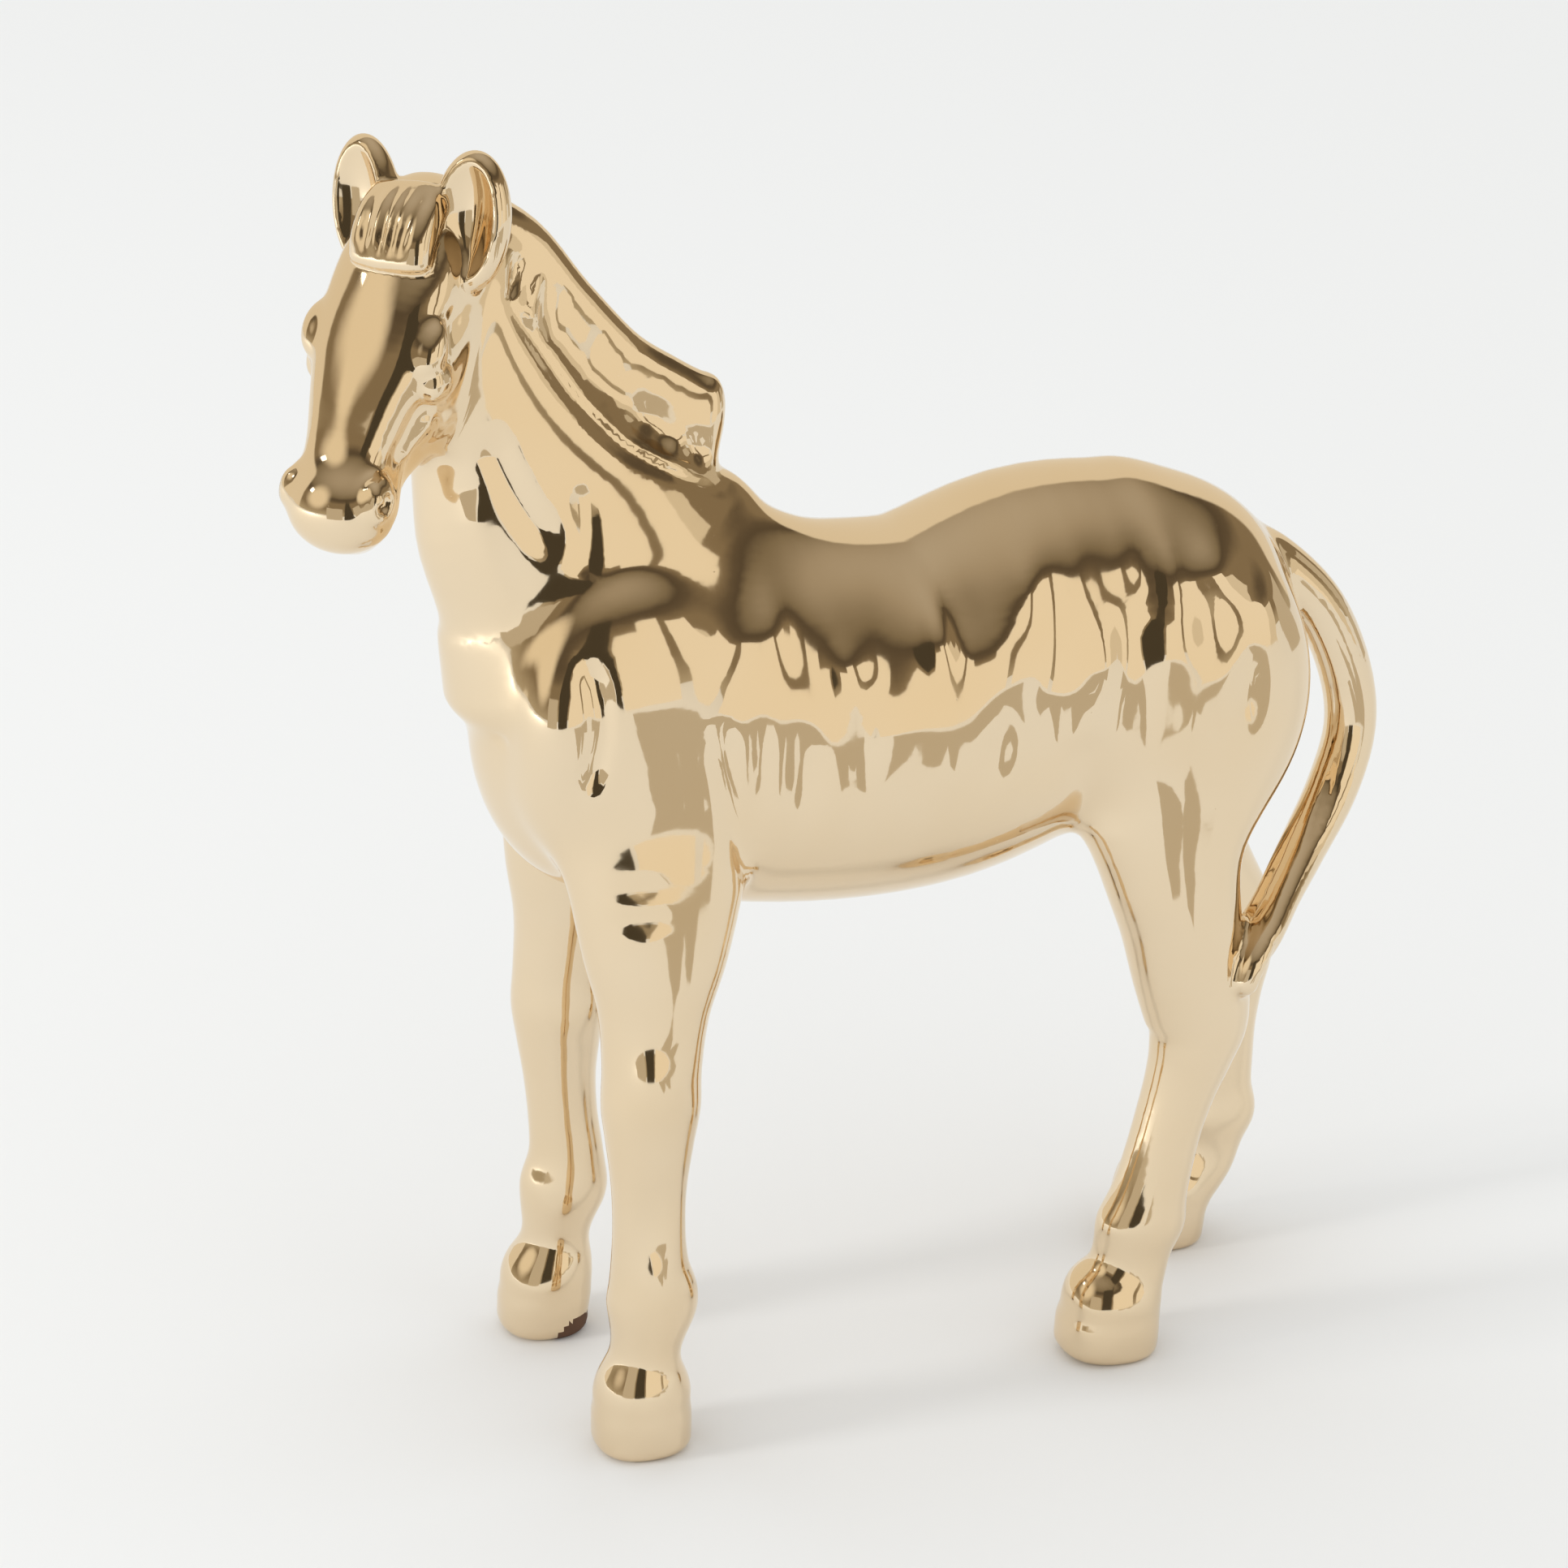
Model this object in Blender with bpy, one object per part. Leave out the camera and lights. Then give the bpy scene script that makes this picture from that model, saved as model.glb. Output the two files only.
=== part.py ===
"""Standing foal figurine: one hollow ceramic casting with a gold lustre glaze.

The figure faces -X with its left side on -Y, and stands on its four hooves at z = 0.
Its masses are swept sections and ellipsoids. They are roughed out as lofts, fused into one skin,
and the skin is then drawn onto the smooth union of the same masses, with cups and grooves cut in.
Its places and sizes are in figure units, which one scale turns to metres so that it stands HEIGHT
tall from its soles to its ear tips.
"""

import bmesh
import bpy
import numpy as np
from mathutils import Matrix, Vector

# Overall height, in metres
HEIGHT = 0.290

# Faceting: the skin's mesh pitch in figure units, and the finished solid's triangles
SKIN_PITCH = 1.4
SOLID_FACES = 9400
SWEEP_STEPS = 5
LEG_STEPS = 8
SLIDES = 2
RING_SIDES = 20

# Glaze colour, linear
GLAZE = (0.62, 0.43, 0.23, 1.0)
GLAZE_ROUGHNESS = 0.08

# Ground level, which cuts the hooves' rounded undersides flat
GROUND = 1.0

# Main sizes in figure units, widths and depths as half sizes. RUMP is where the croup lies behind
# the chest: the barrel, the hind legs and the tail are placed from it.
CHEST = -44.0
RUMP = 89.0
BARREL_WIDTH = 33.5
BARREL_ROUNDING = 25.0
CROUP = (31.0, 29.0, 37.3)
FORE_STANCE = 30.0
HIND_STANCE = 24.0
KNEE_HEIGHT = 93.0
HOCK_HEIGHT = 80.0
HOOF_CORONET = 14.0
HOOF_DOME = 13.0
HOOF_ROUNDING = 4.6
MANE_WIDTH = 6.2
TAIL_GIRTH = 6.0

# Head: half sizes in head units, which HEAD_SIZE scales
BROW = (6.6, 4.2, 4.0)
EYE = (4.8, 4.4, 4.2)
MUZZLE = (10.0, 12.8, 10.5)
CHIN = (6.5, 7.6, 5.0)
CHEEK = (19.0, 7.5, 15.5)
NOSTRIL_RIM = (6.0, 4.0, 4.5)
NOSTRIL = (2.6, 2.2, 1.8)
EAR_LEAF = (16.2, 9.4, 5.8)
EAR_HOLLOW = (19.2, 9.3, 13.9)
EAR_HOLLOW_RISE = 1.4
EAR_HOLLOW_OUT = 12.0
EAR_TURN = 0.15

# Head pose: the place of the poll, the nose's slope below level, and the turn to the horse's left
POLL = np.array((-83.0, -3.2, 283.0))
HEAD_SIZE = 0.91
EAR_SHIFT = 1.9
NOSE_SLOPE = np.radians(58.0)
HEAD_TURN = np.radians(40.0)

UP = np.array((0.0, 0.0, 1.0))
AHEAD = np.array((-np.cos(HEAD_TURN), -np.sin(HEAD_TURN), 0.0))
DOWN_FACE = AHEAD * np.cos(NOSE_SLOPE) - UP * np.sin(NOSE_SLOPE)
OUT_OF_FACE = AHEAD * np.sin(NOSE_SLOPE) + UP * np.cos(NOSE_SLOPE)
LEFT_OF_FACE = np.cross(OUT_OF_FACE, DOWN_FACE)

# Drawing the skin on: the field's reach, its probe and its steps
FAR = 60.0
REACH = 5.0
GRADIENT_STEP = 0.2
LEAST_STEEPNESS = 0.15
LONGEST_STEP = 2.5
BLANK_SWELL = 0.4
BLANK_END = 0.6
BLANK_COARSENESS = 1.4
FIRST_ROUNDS = 4
LAST_ROUNDS = 3
EVENINGS = 3
EVENING_SHARE = 0.5
CUT_REACH = 1e-4


def on_head(down, left, out):
    """Figure coordinates of a place on the head, from its poll: down the face, left, and out of it."""
    return POLL + HEAD_SIZE * (down * DOWN_FACE + left * LEFT_OF_FACE + out * OUT_OF_FACE)


def unit(vectors):
    return vectors / np.linalg.norm(vectors, axis=-1, keepdims=True)


def smooth_rows(rows, steps):
    """Rows of a Catmull-Rom curve through the given rows, steps to each span."""
    rows = np.array(rows, float)
    rows = np.vstack([2 * rows[0] - rows[1], rows, 2 * rows[-1] - rows[-2]])
    t = np.linspace(0.0, 1.0, steps, endpoint=False)[:, None]
    spans = []
    for a, b, c, d in zip(rows, rows[1:], rows[2:], rows[3:]):
        curve = 2 * b + (c - a) * t + (2 * a - 5 * b + 4 * c - d) * t**2
        spans.append(0.5 * (curve + (3 * b - a - 3 * c + d) * t**3))
    spans.append(rows[-2:-1])
    return np.vstack(spans)


def blend_union(first, second, reach):
    """Union of two distances, filleted where both are within reach of each other."""
    near = np.maximum(reach - np.abs(first - second), 0.0) / reach
    return np.minimum(first, second) - near**3 * reach / 6.0


class Sweep:
    """A mass of oval sections along a smooth path.

    Each row is x, y, z, half depth, half width. Width runs along side, and power squares the
    section off: 2 is an ellipse. cap is how far each end is domed.
    """

    def __init__(self, rows, blend, side=(0.0, 1.0, 0.0), power=2.0, cap=None, cut=False):
        curve = smooth_rows(rows, SWEEP_STEPS)
        self.centre, self.radii = curve[:, :3], curve[:, 3:5]
        self.tangent = unit(np.gradient(self.centre, axis=0))
        side = np.array(side, float)
        across = side - (self.tangent @ side)[:, None] * self.tangent
        self.side = unit(across)
        self.spans = np.linalg.norm(np.diff(self.centre, axis=0), axis=1)
        self.front = np.cross(self.tangent, self.side)
        self.blend, self.power, self.cut = blend, power, cut
        self.cap = cap if cap is not None else float(self.radii[[0, -1]].min())
        margin = self.radii.max() + blend + REACH
        self.low, self.high = self.centre.min(0) - margin, self.centre.max(0) + margin

    def distance(self, points):
        count = len(points)
        best = np.full(count, np.inf)
        place = np.zeros(count)
        steps = np.diff(self.centre, axis=0)
        for i, step in enumerate(steps):
            offset = points - self.centre[i]
            t = np.clip(offset @ step / (step @ step), 0.0, 1.0)
            offset -= t[:, None] * step
            gap = (offset**2).sum(1)
            nearer = gap < best
            best[nearer] = gap[nearer]
            place[nearer] = i + t[nearer]

        def along(values, place):
            index = np.clip(np.floor(place).astype(int), 0, len(steps) - 1)
            share = (place - index)[:, None]
            return values[index] * (1.0 - share) + values[index + 1] * share

        # The nearest place on the chords is slid to where the smooth path is square to the point
        for _ in range(SLIDES):
            slip = ((points - along(self.centre, place)) * along(self.tangent, place)).sum(1)
            free = place + slip / self.spans[np.minimum(place.astype(int), len(steps) - 1)]
            place = np.clip(free, 0.0, len(steps))
        # Beyond its ends the sweep goes on tapering as it does up to them
        first, last = -self.cap / self.spans[0], len(steps) + self.cap / self.spans[-1]
        radii = along(self.radii, np.clip(free, first, last))
        offset = points - along(self.centre, place)
        depth = np.abs((offset * along(self.front, place)).sum(1)) / radii[:, 0]
        width = np.abs((offset * along(self.side, place)).sum(1)) / radii[:, 1]
        past = np.abs((offset * along(self.tangent, place)).sum(1)) / self.cap
        level = (depth**self.power + width**self.power + past**self.power) ** (1.0 / self.power)
        length = np.sqrt((offset**2).sum(1))
        return length - length / np.maximum(level, 1e-9)

    def rough(self, mesh, swell):
        """Adds the mass to the blank as a capped loft."""
        turns = np.linspace(0.0, 2.0 * np.pi, RING_SIDES, endpoint=False)
        rings = []
        stations = list(zip(self.centre, self.radii, self.front, self.side))
        first, last = stations[0], stations[-1]
        reach = BLANK_END * self.cap
        stations.insert(0, (first[0] - reach * self.tangent[0], first[1] * BLANK_END, *first[2:]))
        stations.append((last[0] + reach * self.tangent[-1], last[1] * BLANK_END, *last[2:]))
        for centre, radii, front, side in stations:
            ring = []
            for turn in turns:
                spot = centre + (radii[0] + swell) * np.cos(turn) * front
                spot = spot + (radii[1] + swell) * np.sin(turn) * side
                ring.append(mesh.verts.new(spot))
            rings.append(ring)
        for ring, above in zip(rings, rings[1:]):
            for i in range(RING_SIDES):
                j = (i + 1) % RING_SIDES
                mesh.faces.new((ring[i], ring[j], above[j], above[i]))
        mesh.faces.new(rings[0][::-1])
        mesh.faces.new(rings[-1])


class Ball:
    """An ellipsoid: centre, half sizes and the axes that they run along, less its own hollow."""

    def __init__(self, centre, radii, blend, axes=None, cut=False, hollow=None):
        self.centre, self.radii = np.array(centre, float), np.array(radii, float)
        self.axes = np.eye(3) if axes is None else np.array(axes)
        self.blend, self.cut, self.hollow = blend, cut, hollow
        margin = self.radii.max() + blend + REACH
        self.low, self.high = self.centre - margin, self.centre + margin

    def distance(self, points):
        offset = (points - self.centre) @ self.axes.T
        level = np.sqrt(((offset / self.radii) ** 2).sum(1))
        slope = np.sqrt(((offset / self.radii**2) ** 2).sum(1))
        gap = level * (level - 1.0) / np.maximum(slope, 1e-9)
        if self.hollow:
            gap = -blend_union(-gap, self.hollow.distance(points), self.hollow.blend)
        return gap

    def rough(self, mesh, swell):
        frame = Matrix(self.axes.T.tolist()).to_4x4()
        frame.translation = Vector(self.centre)
        sizes = Matrix.Diagonal((*(self.radii + swell), 1.0))
        bmesh.ops.create_uvsphere(
            mesh, u_segments=RING_SIDES, v_segments=RING_SIDES // 2, radius=1.0, matrix=frame @ sizes
        )


HEAD_AXES = (DOWN_FACE, LEFT_OF_FACE, OUT_OF_FACE)


def head_ball(down, left, out, radii, blend, cut=False):
    radii = HEAD_SIZE * np.array(radii)
    return Ball(on_head(down, left, out), radii, HEAD_SIZE * blend, HEAD_AXES, cut)


def head_sweep(rows, blend, power=2.0, cap=None, cut=False):
    """A sweep whose rows are down, left, out, half depth, half width."""
    rows = [(*on_head(*row[:3]), HEAD_SIZE * row[3], HEAD_SIZE * row[4]) for row in rows]
    return Sweep(rows, HEAD_SIZE * blend, LEFT_OF_FACE, power, cap, cut)


def leg(places, girths, blend):
    """A leg: places are x, y, z from the body down, girths are z, half depth, half width."""
    path = smooth_rows(places, LEG_STEPS)
    rows = []
    for z, depth, width in girths:
        x = np.interp(-z, -path[:, 2], path[:, 0])
        y = np.interp(-z, -path[:, 2], path[:, 1])
        rows.append((x, y, z, depth, width))
    return Sweep(rows, blend, cap=4.0)


def hoof(x, y, toe, half_length, half_width):
    """A hoof's upright wall and the dome of its coronet; toe is how far it leans forward."""
    wall = [
        (x + toe * 0.6, y, HOOF_CORONET, half_length * 0.9, half_width * 0.92),
        (x + toe * 0.2, y, 9.0, half_length * 0.99, half_width),
        (x, y, 4.2, half_length, half_width),
    ]
    dome = (half_length * 0.99, half_width * 0.99, HOOF_DOME)
    coronet = Ball((x + toe * 0.6, y, HOOF_CORONET), dome, 2)
    return [Sweep(wall, 2.5, power=2.4, cap=HOOF_ROUNDING), coronet]


def trunk():
    # Share of the way from chest to croup, height, half depth, share of the barrel's width
    barrel = []
    for share, z, depth, width in (
        (0, 168, 38, 0.836),
        (0.165, 162.5, 41.5, 0.925),
        (0.368, 158.9, 43, 0.985),
        (0.571, 158.9, 42.5, 1),
        (0.767, 167.1, 42.3, 0.94),
        (0.932, 169.6, 39.4, 0.866),
    ):
        barrel.append((CHEST + share * (RUMP - CHEST), 0, z, depth, width * BARREL_WIDTH))
    neck = [
        (-41, 0, 182, 36, 25),
        (-46.1, 0, 200, 33.6, 21.5),
        (-55.6, 0, 217, 28.6, 18),
        (-63, 0, 233, 21, 15.5),
        (-69, 0, 249, 17, 13.5),
        (-73, 0, 266, 15, 12),
    ]
    masses = [
        Sweep(barrel, 1.0, cap=BARREL_ROUNDING),
        Ball((RUMP, 0, 166), CROUP, 14),
        Ball((-41, 0, 160), (26, 28, 34), 14),
        Sweep(neck, 16, cap=12),
        Ball((-21, 0, 195), (25, 14, 14), 14),
        Ball((-16.5, 0, 206), (9, 7, 10), 10),
    ]
    for side in (-1, 1):
        masses += [
            Ball((-42, 21 * side, 168), (22, 11, 32), 10),
            Ball((-54, 17 * side, 159), (11.5, 11, 16), 8),
            Ball((RUMP + 0.5, 17 * side, 157), (27.8, 15, 34), 12),
        ]
    return masses


FORE_GIRTHS = [
    (152, 22, 11),
    (136, 20, 12),
    (118, 16.2, 11.5),
    (105, 12.3, 10.6),
    (93, 11.0, 9.8),
    (84, 11.0, 10),
    (75, 9.7, 8.8),
    (65, 8.4, 7.8),
    (55, 8.1, 7.5),
    (46, 8.7, 7.9),
    (38, 10.3, 8.9),
    (31, 9.7, 9.1),
    (25, 9.3, 9.1),
    (20, 9.8, 9.7),
    (14, 10.4, 10.2),
]
HIND_GIRTHS = [
    (150, 24.5, 13),
    (132, 21.2, 13.5),
    (119, 16.6, 12.5),
    (107, 14.3, 11.5),
    (95, 13.6, 10.2),
    (82, 12.3, 9.2),
    (74, 10.2, 8.5),
    (66, 8.7, 7.7),
    (57, 8.1, 7.4),
    (48, 8.3, 7.4),
    (40, 9.0, 7.7),
    (32, 10.9, 8.9),
    (24, 10.4, 8.9),
    (14, 9.8, 9.4),
]


# Each hoof: its centre, its lean, and its half length and half width
HOOVES = [
    (-44.3, -29.4, 0.5, 11.0, 10.6),
    (-49.6, 30.6, 1.5, 10.4, 10.2),
    (RUMP - 18.4, -23.6, 2.0, 11.8, 11.0),
    (RUMP + 14.5, 24.4, 3.0, 11.8, 11.0),
]


def joints(rows, start, stance):
    """A leg's joints from rows of x behind start, share of the half stance, and height."""
    return [(start + x, share * stance, z) for x, share, z in rows]


def legs():
    near_fore = [(7, 0.667, 156), (6.2, 0.833, 130), (3.4, 0.967, KNEE_HEIGHT), (2.1, 1, 65)]
    near_fore += [(2, 1, 46), (2.5, 1, 35), (0.2, 1, 22), (-0.5, 1, 10)]
    far_fore = [(7, 0.667, 156), (5, 0.833, 130), (0.1, 0.967, KNEE_HEIGHT), (-0.3, 1, 65)]
    far_fore += [(0.8, 1, 46), (-0.3, 1, 35), (-2.8, 1, 22), (-5, 1, 10)]
    near_hind = [(-2.5, 0.583, 152), (-4.5, 0.813, 124), (-0.3, 0.917, 97), (2.3, 0.942, HOCK_HEIGHT)]
    near_hind += [(-3.9, 0.971, 58), (-8.7, 1, 40), (-11.2, 1, 30), (-16, 1, 18), (-18.2, 1, 8)]
    far_hind = [(-0.5, 0.583, 152), (8, 0.813, 124), (22, 0.917, 97), (31, 0.942, HOCK_HEIGHT)]
    far_hind += [(30.5, 0.971, 58), (29.5, 1, 40), (28, 1, 28), (20, 1, 16), (16, 1, 6)]
    masses = [
        leg(joints(near_fore, CHEST, -FORE_STANCE), FORE_GIRTHS, 9),
        leg(joints(far_fore, CHEST, FORE_STANCE), FORE_GIRTHS, 9),
        leg(joints(near_hind, RUMP, -HIND_STANCE), HIND_GIRTHS, 9),
        leg(joints(far_hind, RUMP, HIND_STANCE), HIND_GIRTHS, 9),
    ]
    for place in HOOVES:
        masses += hoof(*place)
    return masses


def head():
    skull = [
        (1, 0, -9, 9, 10.5),
        (12, 0, -9.5, 11.5, 15),
        (23, 0, -10.5, 12.5, 16.8),
        (35, -0.5, -11, 12, 16.6),
        (46, -1, -11, 10.5, 13.4),
        (56, -1.2, -11.5, 9, 11.3),
        (64, -0.8, -12, 9, 11.4),
    ]
    jaw = [(30, 0, -27, 11, 9.5), (44, 0, -25.5, 10, 8.5), (56, 0, -20.5, 7.5, 7), (65, 0, -18, 6, 7.5)]
    masses = [
        head_sweep(skull, 8, power=2.6, cap=8),
        head_sweep(jaw, 6, cap=6),
        head_ball(70, -0.7, -12, MUZZLE, 5),
        head_ball(71.9, -0.8, -18.8, CHIN, 3),
        head_ball(6, 0, -18, (14, 11.5, 14), 8),
    ]
    for side in (-1, 1):
        masses += [
            head_ball(32, 8 * side, -23, CHEEK, 5),
            head_ball(31.5, 15.4 * side, -5.5, BROW, 4),
            head_ball(38, 14.2 * side, -10.4, EYE, 2.4),
            head_ball(67, 10 * side, -8.5, NOSTRIL_RIM, 3),
            head_ball(68, 13.5 * side, -8.5, NOSTRIL, 1, cut=True),
        ]
    return masses


def ear(side):
    """A cupped ear: an upright leaf with a hollow in its forward face."""
    faces = unit(AHEAD + EAR_TURN * side * LEFT_OF_FACE)
    across = np.cross(UP, faces)
    foot, tip = on_head(17, 12.8 * side + EAR_SHIFT, -12.5), on_head(-11.6, 15.5 * side + EAR_SHIFT, 2.0)
    rise = unit(tip - foot)
    middle = (foot + tip) / 2.0
    across = unit(across - (across @ rise) * rise)
    outward = np.cross(across, rise)
    axes = (rise, across, outward)
    cup = middle + EAR_HOLLOW_RISE * rise + EAR_HOLLOW_OUT * outward
    hollow = Ball(cup, HEAD_SIZE * np.array(EAR_HOLLOW), 1.6, axes)
    return Ball(middle + 0.5 * rise, HEAD_SIZE * np.array(EAR_LEAF), 2.2, axes, hollow=hollow)


def hair():
    mane = [
        (-82, -3, 275.5, 8, 0.8 * MANE_WIDTH),
        (-72.5, -1, 273.8, 10, 0.87 * MANE_WIDTH),
        (-63, 0, 266.6, 12, 0.94 * MANE_WIDTH),
        (-53.8, 0, 252.9, 13, MANE_WIDTH),
        (-42.4, 0, 238.3, 14, MANE_WIDTH),
        (-32, 0, 229.6, 15, MANE_WIDTH),
        (-25, 0, 224.4, 16, MANE_WIDTH),
        (-21.5, 0, 223.2, 15.8, MANE_WIDTH),
    ]
    forelock = [
        (0, 1.6, 0.5, 4, 9.5),
        (5, 2.2, 2.2, 4.6, 10.2),
        (11, 2.4, 2.4, 4.6, 10.4),
        (15, 2.4, 1.4, 4.0, 10.2),
    ]
    # Place behind the croup, half depth and half width as shares of the tail's girth
    tail = []
    for x, y, z, depth, width in (
        (17, 0, 186.5, 1.17, 1.33),
        (28.2, 0, 180.2, 1.07, 1.17),
        (39.4, 0, 168.6, 1.03, 1.03),
        (46.6, 0, 153, 1.02, 1),
        (48.2, -1, 139, 1, 1),
        (43.2, -3.5, 125.3, 0.98, 1.03),
        (33.3, -9.5, 113.8, 0.87, 1),
        (24, -17.5, 106.8, 0.73, 0.97),
        (16.5, -24, 101.5, 0.72, 1.1),
        (12, -27.3, 96.8, 0.65, 1.13),
        (9.8, -28.8, 92, 0.53, 1),
    ):
        tail.append((RUMP + x, y, z, depth * TAIL_GIRTH, width * TAIL_GIRTH))
    return [
        Sweep(mane, 7, power=2.6, cap=6),
        head_sweep(forelock, 1.5, power=3, cap=2.5),
        Sweep(tail, 2.5, cap=3.5),
    ]


def figure():
    return trunk() + legs() + head() + [ear(-1), ear(1)] + hair()


def field(masses, points):
    """Distance to the figure's surface, less than zero inside it."""
    value = np.full(len(points), FAR)
    for mass in masses:
        near = np.all((points > mass.low) & (points < mass.high), axis=1)
        if not near.any():
            continue
        gap = mass.distance(points[near])
        if mass.cut:
            value[near] = -blend_union(-value[near], gap, mass.blend)
        else:
            value[near] = blend_union(value[near], gap, mass.blend)
    return value


def slope(masses, points):
    """The field's value and gradient, from four probes at a tetrahedron's corners."""
    corners = np.array(((1, 1, 1), (1, -1, -1), (-1, 1, -1), (-1, -1, 1)), float)
    values = [field(masses, points + GRADIENT_STEP * corner) for corner in corners]
    gradient = sum(v[:, None] * corner for v, corner in zip(values, corners))
    return sum(values) / 4.0, gradient / (4.0 * GRADIENT_STEP)


def draw_on(masses, points, rounds):
    """Moves points along the gradient onto the figure's surface."""
    for _ in range(rounds):
        value, gradient = slope(masses, points)
        steep = np.maximum((gradient**2).sum(1), LEAST_STEEPNESS)
        step = np.clip(value / steep, -LONGEST_STEP, LONGEST_STEP)
        points = points - step[:, None] * gradient
    return points


def modified(mesh, kind, **settings):
    """The mesh as one modifier of the given kind and settings leaves it."""
    holder = bpy.data.objects.new("holder", mesh)
    bpy.context.collection.objects.link(holder)
    modifier = holder.modifiers.new(kind, kind)
    for name, value in settings.items():
        setattr(modifier, name, value)
    graph = bpy.context.evaluated_depsgraph_get()
    changed = bpy.data.meshes.new_from_object(holder.evaluated_get(graph))
    bpy.data.objects.remove(holder)
    bpy.data.meshes.remove(mesh)
    return changed


def relax(mesh, points, share):
    """Evens out the skin: each point moves part of the way to its neighbours' mean."""
    edges = np.empty(len(mesh.edges) * 2, np.int32)
    mesh.edges.foreach_get("vertices", edges)
    first, second = edges.reshape(-1, 2).T
    total = np.zeros_like(points)
    np.add.at(total, first, points[second])
    np.add.at(total, second, points[first])
    count = np.bincount(edges, minlength=len(points))[:, None]
    return points + share * (total / np.maximum(count, 1) - points)


def coordinates(mesh):
    points = np.empty(len(mesh.vertices) * 3)
    mesh.vertices.foreach_get("co", points)
    return points.reshape(-1, 3)


def settle(skin, masses, rounds):
    """Draws the skin onto the masses, then evens it out along them."""
    points = draw_on(masses, coordinates(skin), rounds)
    for _ in range(EVENINGS):
        points = draw_on(masses, relax(skin, points, EVENING_SHARE), 1)
    skin.vertices.foreach_set("co", points.ravel())


def skin_of(masses, pitch):
    """The figure's closed skin in figure units, as a mesh."""
    mesh = bmesh.new()
    for mass in masses:
        if not mass.cut:
            mass.rough(mesh, BLANK_SWELL)
    blank = bpy.data.meshes.new("blank")
    mesh.to_mesh(blank)
    mesh.free()
    skin = modified(blank, "REMESH", mode="VOXEL", voxel_size=BLANK_COARSENESS * pitch)
    settle(skin, masses, FIRST_ROUNDS)
    skin = modified(skin, "REMESH", mode="VOXEL", voxel_size=pitch)
    settle(skin, masses, LAST_ROUNDS)
    return skin


def flat_soles(mesh):
    """Cuts the skin off level at the ground and closes the four soles."""
    shape = bmesh.new()
    shape.from_mesh(mesh)
    geometry = shape.verts[:] + shape.edges[:] + shape.faces[:]
    cut = bmesh.ops.bisect_plane(
        shape, geom=geometry, dist=CUT_REACH, plane_co=(0, 0, GROUND), plane_no=(0, 0, -1), clear_outer=True
    )
    rim = [item for item in cut["geom_cut"] if isinstance(item, bmesh.types.BMEdge)]
    bmesh.ops.contextual_create(shape, geom=rim)
    bmesh.ops.triangulate(shape, faces=shape.faces[:])
    bmesh.ops.recalc_face_normals(shape, faces=shape.faces[:])
    shape.to_mesh(mesh)
    shape.free()


def glaze():
    material = bpy.data.materials.new("gold lustre glaze")
    material.use_nodes = True
    shader = material.node_tree.nodes["Principled BSDF"]
    shader.inputs["Base Color"].default_value = GLAZE
    shader.inputs["Metallic"].default_value = 1.0
    shader.inputs["Roughness"].default_value = GLAZE_ROUGHNESS
    return material


def build():
    for item in list(bpy.data.objects):
        bpy.data.objects.remove(item)
    skin = skin_of(figure(), SKIN_PITCH)
    skin = modified(skin, "DECIMATE", ratio=SOLID_FACES / (2 * len(skin.polygons)))
    flat_soles(skin)
    points = coordinates(skin)
    low, high = points.min(0), points.max(0)
    foot = ((low[0] + high[0]) / 2.0, (low[1] + high[1]) / 2.0, low[2])
    points = (points - foot) * HEIGHT / (high[2] - low[2])
    skin.vertices.foreach_set("co", points.ravel())
    skin.name = "horse"
    skin.materials.append(glaze())
    skin.shade_smooth()
    bpy.context.collection.objects.link(bpy.data.objects.new("horse", skin))


build()
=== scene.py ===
"""A standing ceramic foal with a gold lustre glaze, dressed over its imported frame.

The figure is drawn in figure units and then set into the frame's box. Its masses are swept
sections and ellipsoids, joined smoothly, with the modeller's marks pressed into the clay.
"""

import bmesh
import bpy
import numpy as np
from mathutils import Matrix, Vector


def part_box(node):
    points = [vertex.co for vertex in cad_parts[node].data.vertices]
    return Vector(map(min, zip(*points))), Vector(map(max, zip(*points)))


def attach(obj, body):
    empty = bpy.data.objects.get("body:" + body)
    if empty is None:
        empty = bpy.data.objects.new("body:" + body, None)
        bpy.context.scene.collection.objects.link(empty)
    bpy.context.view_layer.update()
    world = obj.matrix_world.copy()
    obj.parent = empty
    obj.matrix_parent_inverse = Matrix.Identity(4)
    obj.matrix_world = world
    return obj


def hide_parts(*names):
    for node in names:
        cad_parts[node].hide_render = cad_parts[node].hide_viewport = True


bl_info = {
    "name": "Lustre Foal",
    "version": (1, 0, 0),
    "blender": (4, 5, 0),
    "location": "View3D > Sidebar > Lustre Foal",
    "description": "Models a ceramic foal with a gold lustre glaze and its studio",
    "category": "Object",
}

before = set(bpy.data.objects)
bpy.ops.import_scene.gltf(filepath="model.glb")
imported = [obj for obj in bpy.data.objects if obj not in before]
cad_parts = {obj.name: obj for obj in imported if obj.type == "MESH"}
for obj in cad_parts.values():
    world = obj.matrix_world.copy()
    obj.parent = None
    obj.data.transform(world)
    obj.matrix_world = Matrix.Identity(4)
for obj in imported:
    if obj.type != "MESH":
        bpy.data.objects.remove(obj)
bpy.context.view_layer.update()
FRAME_LOW, FRAME_HIGH = (np.array(corner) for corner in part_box("horse"))

# Ground level in figure units, which cuts the hooves' rounded undersides flat
GROUND = 1.0

# The figure's own box, which the frame's box stands for, and the length of one figure unit
FIGURE_LOW = np.array((-112.9, -40.0, GROUND))
FIGURE_HIGH = np.array((143.4, 40.8, 293.5))
UNIT = (FRAME_HIGH[2] - FRAME_LOW[2]) / (FIGURE_HIGH[2] - FIGURE_LOW[2])

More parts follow.
